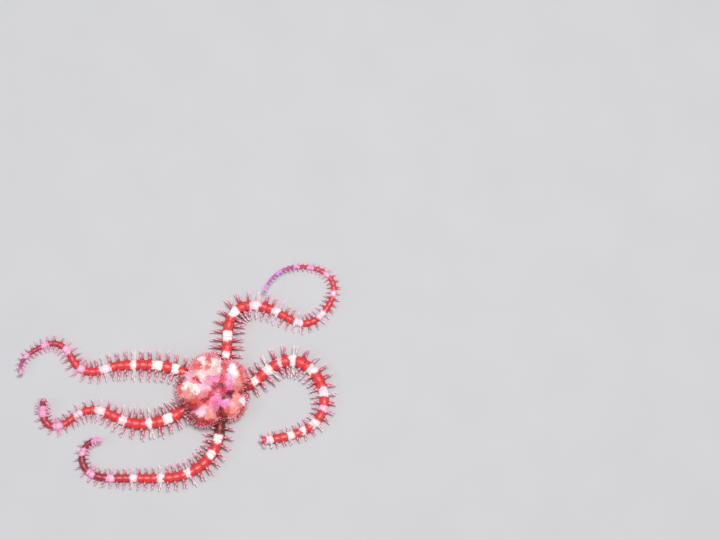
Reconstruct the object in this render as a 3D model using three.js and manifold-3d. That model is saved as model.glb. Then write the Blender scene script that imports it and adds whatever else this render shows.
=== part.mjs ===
// A daisy brittle star at life size, lying on the undersides of its arms, in millimetres with +Z up.
// A lobed disc sits over five jaws, and five long spiny arms wind out from the mouth, in a few lengths each.
// Every arm is a row of segments like overlapping tiles, with spines fused to both sides of each segment.
import * as THREE from "three";
import { mergeVertices } from "three/addons/utils/BufferGeometryUtils.js";
import Module from "manifold-3d";

const wasm = await Module();
wasm.setup();

const GAP = 0.3;
const SLIVER = 0.02;

// The disc: a lobe between each pair of arms and a notch over each arm
const DISC_CENTRE_X = -0.4;
const DISC_LOBE_RADII = [10.9, 10.6, 10.1, 11.0, 10.7];
const DISC_FIRST_LOBE_DEG = 34;
const DISC_NOTCH_RADIUS = 8.4;
const DISC_HEIGHT = 6.1;
const DISC_SECTORS = 45;
const DISC_RINGS = 11;

// The plates on top of the disc stand round a middle that lies a little off the disc's own
const ROSETTE_X = 1.5;
const ROSETTE_Y = -0.3;
const CENTRAL_PLATE = { long: 2.2, wide: 2.2 };
const PRIMARY_PLATE = { long: 1.9, wide: 2.2 };
const PRIMARY_RADIUS = 2.7;
const SHIELD_PLATE = { long: 3.0, wide: 1.8 };
const SHIELD_RADIUS = 7.2;
const SHIELD_OFF_DEG = 13;
const SHIELD_SPREAD_DEG = 8;
const PLATE_RAISE = 0.3;
const PLATE_ROOT = 0.6;

// The short spines round the disc's margin
const SPINELET_LENGTH = 0.9;
const SPINELET_THICK = 0.5;
const SPINELET_ROOT = 0.5;
const SPINELET_STEP_DEG = 6.5;
const SPINELET_ARM_OFF_DEG = 15;

// The mouth
const MOUTH_RADIUS = 4.5;
const JAW_HEIGHT = 1.9;
const JAW_TIP_RADIUS = 0.75;
const JAW_SLIT = 0.5;

// The arms
const ARM_ROOT_RADIUS = 4.9;
const ARM_HEIGHT_SHARE = 0.72;
const BEND_STEP = 5;
const SEGMENT_BASE = 0.9;
const SEGMENT_SHARE = 0.42;
const PROXIMAL_SCALE = 0.91;
const DISTAL_SCALE = 1.03;
const JOINT_HALF = 0.14;
const PLAIN_BELOW_WIDTH = 1.15;
const TIP_STRETCH = 1.5;
const TIP_BEYOND = 0.25;

// The arms' spines
const SPINE_THICK_SHARE = 0.24;
const SPINE_LEAST_THICK = 0.55;
const SPINE_ROOT_SHARE = 0.25;
const SPINE_LEAN_DEG = 12;
const SPINE_SPREAD_DEG = 4;
const SPINE_FLOOR_CLEARANCE = 0.3;
const SPINE_PLACE = 0.62;
const TWO_ROWS_UNTIL = 44;
const SPINES_UNTIL_WIDTH = 1.05;
const DISC_CLEARANCE = 0.6;
const LEAST_SPINE_SHARE = 0.4;
const SHARED_ROOT = 0.3;

// Each arm leaves the mouth at the angle theta, in a heading, and turns by so many degrees a millimetre,
// stated every BEND_STEP along it. lift holds [distance, upward slope in degrees], widths and spines hold
// [distance, millimetres], and lengths is the number of nodes that the arm is divided into.
const ARMS = [
  {
    name: "arm_1",
    theta: 146.5,
    heading: 144.8,
    length: 60.6,
    lengths: 4,
    bends: [1.8, 2.6, 2.6, 0.8, 0.6, 4.3, -6.1, -12.4, 4.9, 14.2, 0.8, 10.2, 12.5, 12.2],
    lift: [[49, 0], [55, 14], [60.6, 22]],
    widths: [[0, 3.0], [9, 3.3], [18, 3.1], [30, 2.3], [38, 2.0], [47, 1.6], [60.6, 0.8]],
    spines: [[5, 3.0], [20, 3.1], [30, 2.6], [45, 2.0], [60, 0.9]],
  },
  {
    name: "arm_2",
    theta: 207.4,
    heading: 216.7,
    length: 54.4,
    lengths: 4,
    bends: [0.9, -1.2, -4.1, -1.8, -5.7, -0.2, 5.5, 9.0, -4.8, -19.3, -6.9, -3, 0],
    lift: [[48.5, 0], [54.4, 62]],
    widths: [[0, 3.0], [10, 3.4], [19, 3.3], [27, 2.6], [34, 2.1], [45, 2.0], [51, 2.2], [54.4, 1.7]],
    spines: [[5, 3.0], [18, 3.2], [34, 2.3], [45, 1.7], [54.4, 1.2]],
  },
  {
    name: "arm_3",
    theta: 283.0,
    heading: 284.7,
    length: 64,
    lengths: 5,
    bends: [-3.0, -3.1, -4.2, -4.3, -3.7, -3.7, -0.4, -0.3, 0.6, -3.2, -10.4, -11.4, -13.4, -9],
    lift: [[56, 0], [61, 32], [64, 42]],
    widths: [[0, 3.0], [10, 3.3], [24, 2.8], [40, 2.4], [52, 2.0], [60, 1.6], [64, 1.1]],
    spines: [[5, 3.0], [20, 2.8], [32, 2.3], [45, 1.9], [58, 1.2], [64, 0.5]],
  },
  {
    name: "arm_4",
    theta: 3.5,
    heading: 6.6,
    length: 59.2,
    lengths: 5,
    bends: [4.6, 4.1, 0.7, -6.4, -8.3, -5.1, -4.2, -5.7, -7.1, -4.0, -1.5, -0.3, 0.4, 0],
    lift: [[53, 0], [59.2, 58]],
    widths: [[0, 3.0], [9, 3.3], [21, 3.5], [30, 3.1], [38, 2.7], [44, 2.7], [56, 2.5], [59.2, 1.9]],
    spines: [[5, 3.0], [22, 3.2], [34, 2.4], [45, 1.8], [59.2, 1.3]],
  },
  {
    name: "arm_5",
    theta: 69.7,
    heading: 61.4,
    length: 80.1,
    lengths: 6,
    bends: [5.6, 2.6, 0, -5.4, -11.7, -3.7, -3.5, 2.2, 11.6, 4.2, 4.3, 12, 6.4, 3.4, 5.8, 4.7, 5.8],
    lift: [[60, 0], [65, 16], [74, 16], [80.1, 6]],
    widths: [[0, 3.0], [11, 3.1], [26, 2.9], [33, 2.3], [41, 1.95], [50, 1.6], [60, 1.35], [80.1, 0.6]],
    spines: [[4, 3.4], [12, 3.6], [22, 2.9], [33, 2.7], [42, 2.1], [52, 1.7], [62, 1.0], [72, 0.5]],
  },
];

const DISC_COLOUR = new THREE.MeshStandardMaterial({ color: 0xe9828a, roughness: 0.5, metalness: 0 });
const ARM_COLOUR = new THREE.MeshStandardMaterial({ color: 0xd8372b, roughness: 0.45, metalness: 0 });
const JAW_COLOUR = new THREE.MeshStandardMaterial({ color: 0xf1d5cf, roughness: 0.5, metalness: 0 });

const radians = THREE.MathUtils.degToRad;
const smooth = THREE.MathUtils.smoothstep;
const at = (x, y, z) => new THREE.Vector3(x, y, z);

// Random draws that are the same in every run.
let seed = 20;
function random(low, high) {
  seed = (seed * 16807) % 2147483647;
  return low + ((high - low) * seed) / 2147483647;
}

// A value read between [place, value] knots, and held past both ends.
function between(knots, place) {
  const after = knots.findIndex(([knot]) => knot >= place);
  if (after < 0) return knots[knots.length - 1][1];
  if (after === 0) return knots[0][1];
  const [[a, low], [b, high]] = [knots[after - 1], knots[after]];
  return low + ((high - low) * (place - a)) / (b - a);
}

function middle(points) {
  return points.reduce((sum, p) => sum.add(p), at(0, 0, 0)).divideScalar(points.length);
}

// A closed skin over rings of points, with a fan to a single point at each end. The points of a ring run
// clockwise as seen along the way from the first ring to the last.
function loft(rings, first, last) {
  const sides = rings[0].length;
  const points = [first, ...rings.flat(), last];
  const index = [];
  const vertex = (ring, i) => 1 + ring * sides + (i % sides);
  for (let i = 0; i < sides; i++) {
    index.push(0, vertex(0, i + 1), vertex(0, i));
    for (let ring = 0; ring + 1 < rings.length; ring++) {
      index.push(vertex(ring, i), vertex(ring, i + 1), vertex(ring + 1, i + 1));
      index.push(vertex(ring, i), vertex(ring + 1, i + 1), vertex(ring + 1, i));
    }
    index.push(points.length - 1, vertex(rings.length - 1, i), vertex(rings.length - 1, i + 1));
  }
  return new THREE.BufferGeometry().setFromPoints(points).setIndex(index);
}

// A geometry as a solid that can be joined and cut.
function solid(geometry) {
  const bare = geometry.clone();
  bare.deleteAttribute("normal");
  bare.deleteAttribute("uv");
  const merged = mergeVertices(bare, 1e-4);
  return new wasm.Manifold(
    new wasm.Mesh({
      numProp: 3,
      vertProperties: merged.attributes.position.array,
      triVerts: new Uint32Array(merged.index.array),
    }),
  );
}

// The largest closed surface of a solid as a geometry, without the slivers that joining leaves.
function geometryOf(made) {
  const tidy = made.simplify(SLIVER);
  const largest = tidy.decompose().reduce((a, b) => (b.volume() > a.volume() ? b : a));
  const mesh = largest.getMesh();
  return new THREE.BufferGeometry()
    .setAttribute("position", new THREE.BufferAttribute(new Float32Array(mesh.vertProperties), 3))
    .setIndex(new THREE.BufferAttribute(new Uint32Array(mesh.triVerts), 1));
}

const star = new THREE.Group();
function addNode(name, made, material) {
  const mesh = new THREE.Mesh(geometryOf(made), material);
  mesh.name = name;
  star.add(mesh);
}

// Spines and spinelets: a root, a tip, a thickness and the node that each grows from
const spines = [];

// A three-sided spine that tapers from its root to its tip, with a ridge on top.
function spineSolid({ root, tip, thick }) {
  const along = tip.clone().sub(root).normalize();
  const right = along.clone().cross(at(0, 0, 1)).normalize();
  const up = right.clone().cross(along);
  const radius = thick / 1.5;
  const base = [0, 120, 240].map((turn) =>
    root
      .clone()
      .addScaledVector(up, Math.cos(radians(turn)) * radius)
      .addScaledVector(right, Math.sin(radians(turn)) * radius),
  );
  return solid(loft([base], root, tip));
}

// The shortest way from a spine to another, both taken from a share of their free length outwards.
function spineDistance(spine, other, from) {
  const outer = new THREE.Line3(other.skin.clone().lerp(other.tip, from), other.tip);
  const distances = [0, 0.25, 0.5, 0.75, 1].map((share) => {
    const on = spine.skin.clone().lerp(spine.tip, from + (1 - from) * share);
    return outer.closestPointToPoint(on, true, at(0, 0, 0)).distanceTo(on);
  });
  return Math.min(...distances);
}

// Spines of one node may share their roots, and those of two nodes stay apart all along.
function clearOfSpines(spine) {
  return spines.every((other) => {
    if (other.tip.distanceTo(spine.tip) > 9) return true;
    const sameNode = other.node === spine.node;
    const needed = (spine.thick + other.thick) / 2 + (sameNode ? 0 : GAP);
    const from = sameNode ? SHARED_ROOT : 0;
    return Math.min(spineDistance(spine, other, from), spineDistance(other, spine, from)) > needed;
  });
}

// The middle line of an arm's underside, walked out from the mouth in short steps.
const WALK = 0.1;
function walk(arm) {
  const bends = arm.bends.map((rate, i) => [i * BEND_STEP, rate]);
  const start = radians(arm.theta);
  const place = at(ARM_ROOT_RADIUS * Math.cos(start), ARM_ROOT_RADIUS * Math.sin(start), 0);
  let heading = arm.heading;
  const stops = [];
  for (let s = 0; s <= arm.length + 2 * WALK; s += WALK) {
    const slope = radians(between(arm.lift, s));
    const turn = radians(heading);
    const ahead = at(Math.cos(slope) * Math.cos(turn), Math.cos(slope) * Math.sin(turn), Math.sin(slope));
    const left = at(-Math.sin(turn), Math.cos(turn), 0);
    stops.push({ place: place.clone(), ahead, left, up: ahead.clone().cross(left) });
    place.addScaledVector(ahead, WALK);
    heading += between(bends, s + WALK / 2) * WALK;
  }
  return stops;
}

function placeAt(arm, s) {
  const whole = Math.min(arm.stops.length - 2, Math.floor(s / WALK));
  return arm.stops[whole].place.clone().lerp(arm.stops[whole + 1].place, s / WALK - whole);
}

// An arm's width follows its knots and closes to a blunt tip over the last stretch.
function widthAt(arm, s) {
  const closing = Math.sqrt(Math.min(1, (arm.length - s + TIP_BEYOND) / TIP_STRETCH));
  return between(arm.widths, s) * closing;
}

// The joints between the segments of an arm. Segments grow shorter as the arm narrows.
function jointsOf(arm) {
  const joints = [0];
  let s = 0;
  while (s < arm.length - 1) {
    s += SEGMENT_BASE + SEGMENT_SHARE * between(arm.widths, s);
    joints.push(s);
  }
  joints[joints.length - 1] = arm.length;
  return joints;
}

// Half of an arm's section, in shares of half the width and of the height, from the sole to the flat crest.
const SECTION = [[0.65, 0], [1, 0.4], [0.52, 1]];

function sectionAt(segment, place, width, extra = 0) {
  const half = width / 2 + extra;
  const height = width * ARM_HEIGHT_SHARE + extra;
  const outline = [...SECTION, ...SECTION.map(([x, z]) => [-x, z]).reverse()];
  return outline.map(([x, z]) =>
    place.clone().addScaledVector(segment.left, x * half).addScaledVector(segment.up, z * height),
  );
}

// Each segment is straight, between two joints, with its own directions and its width at both ends.
function segmentsOf(arm) {
  return arm.joints.slice(1).map((to, i) => {
    const from = arm.joints[i];
    const [near, far] = [placeAt(arm, from), placeAt(arm, to)];
    const ahead = far.clone().sub(near).normalize();
    const left = at(0, 0, 1).cross(ahead).normalize();
    const up = ahead.clone().cross(left);
    return { from, to, near, far, ahead, left, up };
  });
}

// The plane half way between the directions of the segments that meet at a joint, moved along by so much.
function mitre(arm, j, offset) {
  const before = arm.segments[Math.max(0, j - 1)];
  const after = arm.segments[Math.min(arm.segments.length - 1, j)];
  const normal = before.ahead.clone().add(after.ahead).normalize();
  const joint = j < arm.segments.length ? after.near : before.far;
  const place = joint.clone().addScaledVector(normal, offset);
  return new THREE.Plane().setFromNormalAndCoplanarPoint(normal, place);
}

// The ring in which a plane cuts the straight edges between two rings.
function cutRing(near, far, plane) {
  return near.map((p, i) => {
    const edge = far[i].clone().sub(p);
    return p.clone().addScaledVector(edge, -plane.distanceToPoint(p) / plane.normal.dot(edge));
  });
}

// The segments from one joint to another as one solid. Each is widest at its far edge, and the bend of the
// arm is taken up between them.
function segmentsSolid(arm, first, last) {
  const rings = [];
  for (let j = first; j < last; j++) {
    const segment = arm.segments[j];
    const near = sectionAt(segment, segment.near, widthAt(arm, segment.from) * PROXIMAL_SCALE);
    const far = sectionAt(segment, segment.far, widthAt(arm, segment.to) * DISTAL_SCALE);
    const nearOff = j === first ? (first ? GAP / 2 : 0) : JOINT_HALF;
    const lastOne = j + 1 === arm.segments.length;
    const farOff = j + 1 === last ? (lastOne ? 0 : GAP / 2) : JOINT_HALF;
    rings.push(cutRing(near, far, mitre(arm, j, nearOff)));
    if (j + 1 === last || widthAt(arm, segment.to) > PLAIN_BELOW_WIDTH) {
      rings.push(cutRing(near, far, mitre(arm, j + 1, -farOff)));
    }
  }
  return solid(loft(rings, middle(rings[0]), middle(rings[rings.length - 1])));
}

// The rows of spines on each side: the angle above the horizontal, the root's place on the section and
// the share of the full length.
const UPPER_ROW = { elevation: 36, side: 0.79, height: 0.66, share: 0.95 };
const LOWER_ROW = { elevation: 5, side: 0.86, height: 0.22, share: 1 };
const SINGLE_ROW = { elevation: 16, side: 0.8, height: 0.62, share: 1 };

function spineOn(arm, segment, side, row, node) {
  const s = segment.from + SPINE_PLACE * (segment.to - segment.from);
  const width = widthAt(arm, s);
  const elevation = radians(row.elevation + random(-SPINE_SPREAD_DEG, SPINE_SPREAD_DEG));
  const lean = radians(SPINE_LEAN_DEG + random(-SPINE_SPREAD_DEG, SPINE_SPREAD_DEG));
  const outward = segment.left.clone().multiplyScalar(side * Math.cos(elevation) * Math.cos(lean));
  outward.addScaledVector(segment.up, Math.sin(elevation) * Math.cos(lean));
  outward.addScaledVector(segment.ahead, Math.sin(lean));
  const skin = segment.near
    .clone()
    .lerp(segment.far, SPINE_PLACE)
    .addScaledVector(segment.left, (side * row.side * width) / 2)
    .addScaledVector(segment.up, row.height * width * ARM_HEIGHT_SHARE);
  return {
    node,
    skin,
    outward,
    root: skin.clone().addScaledVector(outward, -SPINE_ROOT_SHARE * width),
    thick: Math.max(SPINE_LEAST_THICK, SPINE_THICK_SHARE * width),
    length: between(arm.spines, s) * row.share * random(0.93, 1.05),
  };
}

function clearOfDisc(point) {
  const x = point.x - DISC_CENTRE_X;
  const degrees = (Math.atan2(point.y, x) * 180) / Math.PI;
  return Math.hypot(x, point.y) > discRadius(degrees) + DISC_CLEARANCE;
}

// A point stays clear of every stretch of arm but the one that its spine grows from.
function clearOfArms(point, ownArm, ownPlace) {
  return ARMS.every((arm) =>
    arm.stops.every((stop, i) => {
      if (i % 5 || (arm === ownArm && Math.abs(i * WALK - ownPlace) < 6)) return true;
      const width = widthAt(arm, Math.min(i * WALK, arm.length));
      const away = point.clone().sub(stop.place).addScaledVector(stop.up, (-width * ARM_HEIGHT_SHARE) / 2);
      return away.length() > width / 2 + SPINE_LEAST_THICK / 2 + GAP;
    }),
  );
}

// A spine is grown as long as it can be without meeting the disc, an arm, the floor or another spine.
function growSpine(arm, segment, side, row, node) {
  const spine = spineOn(arm, segment, side, row, node);
  for (let share = 1; share >= LEAST_SPINE_SHARE; share -= 0.1) {
    spine.tip = spine.skin.clone().addScaledVector(spine.outward, spine.length * share);
    const halfWay = spine.skin.clone().lerp(spine.tip, 0.5);
    const free = [spine.tip, halfWay].every(
      (p) => p.z > SPINE_FLOOR_CLEARANCE && clearOfDisc(p) && clearOfArms(p, arm, segment.from),
    );
    if (free && clearOfDisc(spine.skin) && clearOfSpines(spine)) {
      spines.push(spine);
      return;
    }
  }
}

function growSpinesOn(arm, first, last, node) {
  for (const segment of arm.segments.slice(first, last)) {
    if (widthAt(arm, segment.to) < SPINES_UNTIL_WIDTH) continue;
    const rows = segment.from < TWO_ROWS_UNTIL ? [UPPER_ROW, LOWER_ROW] : [SINGLE_ROW];
    for (const side of [-1, 1]) for (const row of rows) growSpine(arm, segment, side, row, node);
  }
}

// The disc's radius in a direction: full over each lobe and drawn in over each arm.
function discRadius(degrees) {
  const turns = ((((degrees - DISC_FIRST_LOBE_DEG) / 72) % 5) + 5) % 5;
  const lobe = Math.round(turns) % 5;
  const off = (turns - Math.round(turns)) * 72;
  const swell = Math.pow(Math.cos(radians(2.5 * off)), 0.7);
  return DISC_NOTCH_RADIUS + (DISC_LOBE_RADII[lobe] - DISC_NOTCH_RADIUS) * swell;
}

// The disc's section from the middle of its underside to the middle of its top, as shares of its radius
// and heights.
const UNDERSIDE = [[0, 0.7], [0.5, 0.62], [0.8, 0.75], [0.95, 1.6]];
const MARGIN = [[1, 2.7], [0.975, 3.9], [0.87, 5]];
const TOP = [[0.68, 5.75], [0.45, DISC_HEIGHT], [0.22, 6.05], [0, 5.9]];
const MERIDIAN = new THREE.CatmullRomCurve3([...UNDERSIDE, ...MARGIN, ...TOP].map(([x, z]) => at(x, 0, z)));
const MARGIN_SHARE = 0.42;

function discPoint(share, degrees) {
  const p = MERIDIAN.getPoint(share);
  const radius = p.x * discRadius(degrees);
  const furrow = 0.15 - 0.3 * Math.cos(radians(5 * (degrees - DISC_FIRST_LOBE_DEG)));
  const z = p.z - furrow * smooth(p.z, 3, 5) * smooth(p.x, 0.1, 0.6);
  return at(DISC_CENTRE_X + radius * Math.cos(radians(degrees)), radius * Math.sin(radians(degrees)), z);
}

// The way straight out of the disc's skin.
function discNormal(share, degrees) {
  const here = discPoint(share, degrees);
  const inward = discPoint(share + 0.01, degrees).sub(here);
  const round = discPoint(share, degrees + 1).sub(here);
  return round.cross(inward).normalize();
}

// The share of the meridian and the angle at which a place on the disc's top lies.
function onTop(x, y) {
  const degrees = (Math.atan2(y, x - DISC_CENTRE_X) * 180) / Math.PI;
  const wanted = Math.hypot(x - DISC_CENTRE_X, y) / discRadius(degrees);
  let [low, high] = [0.45, 1];
  for (let i = 0; i < 30; i++) {
    const half = (low + high) / 2;
    if (MERIDIAN.getPoint(half).x > wanted) low = half;
    else high = half;
  }
  return [low, degrees];
}

function discBody() {
  const rings = [];
  for (let i = 1; i < DISC_RINGS; i++) {
    const ring = [];
    for (let k = 0; k < DISC_SECTORS; k++) ring.push(discPoint(i / DISC_RINGS, (k * 360) / DISC_SECTORS));
    rings.push(ring);
  }
  return solid(loft(rings, discPoint(0, 0), discPoint(1, 0)));
}

// A low eight-sided boss on the disc's top, long and wide by so much, with its long way at an angle.
function plate(x, y, { long, wide }, degrees) {
  const [share, angle] = onTop(x, y);
  const normal = discNormal(share, angle);
  const centre = discPoint(share, angle);
  const along = at(Math.cos(radians(degrees)), Math.sin(radians(degrees)), 0);
  along.addScaledVector(normal, -along.dot(normal)).normalize();
  const across = normal.clone().cross(along);
  const ring = (scale, height) =>
    Array.from({ length: 8 }, (_, k) => {
      const turn = radians(45 * k + 22.5);
      return centre
        .clone()
        .addScaledVector(normal, height)
        .addScaledVector(along, (Math.cos(turn) * long * scale) / 2)
        .addScaledVector(across, (Math.sin(turn) * wide * scale) / 2);
    });
  const rings = [ring(1, -PLATE_ROOT), ring(1, PLATE_RAISE / 6), ring(0.72, PLATE_RAISE)];
  return solid(loft(rings, middle(rings[0]), centre.clone().addScaledVector(normal, PLATE_RAISE * 1.15)));
}

function discPlates() {
  const made = [plate(ROSETTE_X, ROSETTE_Y, CENTRAL_PLATE, 0)];
  for (let k = 0; k < 5; k++) {
    const lobe = DISC_FIRST_LOBE_DEG + 72 * k;
    const turn = radians(lobe);
    const x = ROSETTE_X + PRIMARY_RADIUS * Math.cos(turn);
    const y = ROSETTE_Y + PRIMARY_RADIUS * Math.sin(turn);
    made.push(plate(x, y, PRIMARY_PLATE, lobe));
    for (const side of [-1, 1]) {
      const angle = radians(lobe + 36 + SHIELD_OFF_DEG * side);
      const shieldX = DISC_CENTRE_X + SHIELD_RADIUS * Math.cos(angle);
      const shieldY = SHIELD_RADIUS * Math.sin(angle);
      made.push(plate(shieldX, shieldY, SHIELD_PLATE, lobe + 36 - SHIELD_SPREAD_DEG * side));
    }
  }
  return made;
}

function offArms(degrees) {
  const closest = Math.cos(radians(SPINELET_ARM_OFF_DEG));
  return ARMS.every((arm) => Math.cos(radians(degrees - arm.theta)) < closest);
}

function growSpinelets() {
  for (let degrees = 0; degrees < 360; degrees += SPINELET_STEP_DEG) {
    const angle = degrees + random(-1.5, 1.5);
    const share = MARGIN_SHARE + random(-0.03, 0.03);
    if (!offArms(angle)) continue;
    const outward = discNormal(share, angle);
    const skin = discPoint(share, angle);
    const tip = skin.clone().addScaledVector(outward, SPINELET_LENGTH * random(0.8, 1.1));
    const root = skin.clone().addScaledVector(outward, -SPINELET_ROOT);
    spines.push({ node: "disc", skin, root, tip, thick: SPINELET_THICK });
  }
}

function withSpines(node, body) {
  return wasm.Manifold.union([body, ...spines.filter((s) => s.node === node).map(spineSolid)]);
}

// A straight plug with rounded sides, standing on a level.
function plug(radius, from, to) {
  const cylinder = new THREE.CylinderGeometry(radius, radius, to - from, 30);
  return solid(cylinder.rotateX(Math.PI / 2).translate(0, 0, (from + to) / 2));
}

// The room that an arm's root needs under the disc, open downwards.
function tunnel(arm) {
  const rings = arm.segments.slice(0, 6).map((segment) => {
    const width = widthAt(arm, segment.from) * DISTAL_SCALE;
    return sectionAt(segment, segment.near, width, GAP);
  });
  rings.unshift(rings[0].map((p) => p.clone().addScaledVector(arm.segments[0].ahead, -0.6)));
  for (const ring of rings) for (const p of ring) if (p.z < 0.01) p.setZ(-1);
  return solid(loft(rings, middle(rings[0]), middle(rings[rings.length - 1])));
}

function makeDisc() {
  growSpinelets();
  let disc = wasm.Manifold.union([withSpines("disc", discBody()), ...discPlates()]);
  disc = disc.subtract(plug(MOUTH_RADIUS + GAP, -1, JAW_HEIGHT + GAP));
  for (const arm of ARMS) disc = disc.subtract(tunnel(arm));
  addNode("disc", disc, DISC_COLOUR);
}

// A jaw between the directions of two arms: a wedge with a blunt tip at the mouth's middle.
function makeJaw(name, from, to) {
  const half = radians((to - from) / 2);
  const outer = MOUTH_RADIUS - 0.15;
  const flank = (r) => [
    r * Math.cos(half) + (JAW_SLIT / 2) * Math.sin(half),
    r * Math.sin(half) - (JAW_SLIT / 2) * Math.cos(half),
  ];
  const [x, y] = flank(outer - 0.15);
  const upper = [[JAW_TIP_RADIUS, 0.22], [x, y], [outer, y * 0.5]];
  const outline = [...upper, ...upper.map(([px, py]) => [px, -py]).reverse()];
  const shape = new THREE.Shape(outline.map(([px, py]) => new THREE.Vector2(px, py)).reverse());
  const wedge = new THREE.ExtrudeGeometry(shape, { depth: JAW_HEIGHT, bevelEnabled: false });
  addNode(name, solid(wedge.rotateZ(radians((from + to) / 2))), JAW_COLOUR);
}

function makeJaws() {
  const angles = ARMS.map((arm) => arm.theta).sort((a, b) => a - b);
  angles.push(angles[0] + 360);
  for (let i = 0; i < 5; i++) makeJaw(`jaw_${i + 1}`, angles[i], angles[i + 1]);
}

// The joints at which an arm is divided into its nodes.
function divisions(arm) {
  return Array.from({ length: arm.lengths + 1 }, (_, k) => {
    const off = arm.joints.map((s) => Math.abs(s - (arm.length * k) / arm.lengths));
    return off.indexOf(Math.min(...off));
  });
}

function makeArm(arm) {
  const cuts = divisions(arm);
  for (let k = 0; k < arm.lengths; k++) {
    const name = `${arm.name}_length_${k + 1}`;
    growSpinesOn(arm, cuts[k], cuts[k + 1], name);
    addNode(name, withSpines(name, segmentsSolid(arm, cuts[k], cuts[k + 1])), ARM_COLOUR);
  }
}

for (const arm of ARMS) {
  arm.stops = walk(arm);
  arm.joints = jointsOf(arm);
  arm.segments = segmentsOf(arm);
}
makeDisc();
makeJaws();
ARMS.forEach(makeArm);

// The origin is the middle of the whole star's box, on the ground
const box = new THREE.Box3().setFromObject(star, true);
star.position.set(-(box.min.x + box.max.x) / 2, -(box.min.y + box.max.y) / 2, -box.min.z);

export default star;
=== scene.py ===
import bpy
import numpy as np
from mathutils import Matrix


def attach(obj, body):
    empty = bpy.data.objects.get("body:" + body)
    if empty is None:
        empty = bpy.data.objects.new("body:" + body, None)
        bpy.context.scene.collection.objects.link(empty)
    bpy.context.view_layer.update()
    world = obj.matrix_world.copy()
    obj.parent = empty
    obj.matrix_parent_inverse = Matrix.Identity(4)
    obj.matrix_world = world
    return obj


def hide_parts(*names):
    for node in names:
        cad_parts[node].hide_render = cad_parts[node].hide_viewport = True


# A daisy brittle star at life size. Lengths are millimetres about the mouth until a mesh is made.
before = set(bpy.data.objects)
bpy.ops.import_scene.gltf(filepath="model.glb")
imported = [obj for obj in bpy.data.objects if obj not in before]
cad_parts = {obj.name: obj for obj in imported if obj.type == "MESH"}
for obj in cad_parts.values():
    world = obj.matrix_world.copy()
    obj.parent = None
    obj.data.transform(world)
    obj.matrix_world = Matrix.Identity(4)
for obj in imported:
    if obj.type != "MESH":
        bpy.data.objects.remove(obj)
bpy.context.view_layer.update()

# Where the mouth's middle stands in the frame
MOUTH_X = 9.7087
MOUTH_Y = -4.2927

# The disc: a lobe between each pair of arms and a notch over each arm. Levels are the heights, and reaches
# the shares of the radius, between which a form fades in.
DISC_CENTRE_X = -0.4
DISC_LOBE_RADII = np.array([10.9, 10.6, 10.1, 11.0, 10.7])
DISC_FIRST_LOBE_DEG = 34
LOBES = 5
ARM_STEP_DEG = 360 / LOBES
LOBE_POWER = 0.7
DISC_NOTCH_RADIUS = 8.4
DISC_HEIGHT = 6.1
DISC_SKIN_SCALE = 0.975
DISC_SKIN_DROP = 0.12
DISC_FURROW = 1.1
DISC_FURROW_DEG = 12
FURROW_LEVELS = (3, 5)
FURROW_REACHES = (0.15, 0.7)
LOBE_CROWN = 0.15
LUMP_HEIGHT = 0.1
LUMP_LENGTH = 4
LUMP_LEVELS = (1, 2.5)
BLOTCH_RELIEF = 0.4
RELIEF_LEVELS = (3.5, 5)
LEVEL_BRIGHTNESS = 0.6
BODY_LEVEL = 2.5
UNDERSIDE_LEVEL = 0.5
DISC_CLEARANCE = 0.1
DISC_RINGS = 110
DISC_SECTORS = 200

# The disc's meridian runs from the middle of the underside over the margin to the middle of the top. Its
# knots hold a share of the radius and a height. Two shares of its way mark the margin and where the top
# starts.
MARGIN_SHARE = 0.42
TOP_SHARE = 0.45
UNDERSIDE = [[0, 0.7], [0.5, 0.62], [0.8, 0.75], [0.95, 1.6]]
MARGIN = [[1, 2.7], [0.975, 3.9], [0.87, 5]]
TOP = [[0.68, 5.75], [0.45, DISC_HEIGHT], [0.22, 6.05], [0, 5.9]]
MERIDIAN = np.array(UNDERSIDE + MARGIN + TOP, float)

# The plates on top of the disc: half length and half width, and how far out and how far off the lobe's
# middle each kind stands. The rosette's middle lies a little off the disc's own.
ROSETTE = np.array([1.5, -0.3])
CENTRAL_PLATE = (1.1, 1.1)
PRIMARY_PLATE = (0.95, 1.1)
PRIMARY_RADIUS = 2.7
BETWEEN_PLATE = (0.6, 0.55)
BETWEEN_RADIUS = 2.4
BETWEEN_TURN = 0.63
LOBE_PLATES = ((5.6, 0.85), (7.6, 1.0), (9.2, 0.75))
LOBE_PLATE_WIDER = 1.1
SHIELD_PLATE = (1.5, 0.9)
SHIELD_RADIUS = 7.2
SHIELD_OFF_DEG = 13
SHIELD_SPREAD_DEG = 8
SIDE_PLATE = (0.75, 0.65)
SIDE_RADIUS = 8.7
SIDE_OFF_DEG = 15
PLATE_RAISE = 0.15

# Granules and short spines of the disc, and how much painted shade darkens the skin between the granules.
# Each row of spinelets holds its share of the meridian, how many there are and their share of the full
# length.
GRANULE_PITCH = 0.34
GRANULE_RADIUS = 0.165
GRANULE_GAP = 0.12
GRANULE_SHARES = (0.22, 0.995)
GRANULE_RING_RADIUS = 9.8
GRANULE_SIZE_VARY = (0.7, 1.25)
GRANULE_TONE_VARY = (-0.25, 0.35)
GRANULE_PALE_STEADY = 0.6
SHADE_BETWEEN_GRANULES = 0.72
SHADE_LIFT_WHERE_PALE = 0.25
SPINELET_LENGTH = 0.9
SPINELET_RADIUS = 0.15
SPINELET_ROOT = 0.2
SPINELET_LONG_VARY = (0.75, 1.1)
SPINELET_PALE = (0.25, 0.6)
SPINELET_ROWS = ((0.36, 90, 0.7), (0.42, 110, 1.0), (0.48, 104, 0.9), (0.545, 90, 0.65))
CLEAR_OF_ARM_DEG = 14

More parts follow.
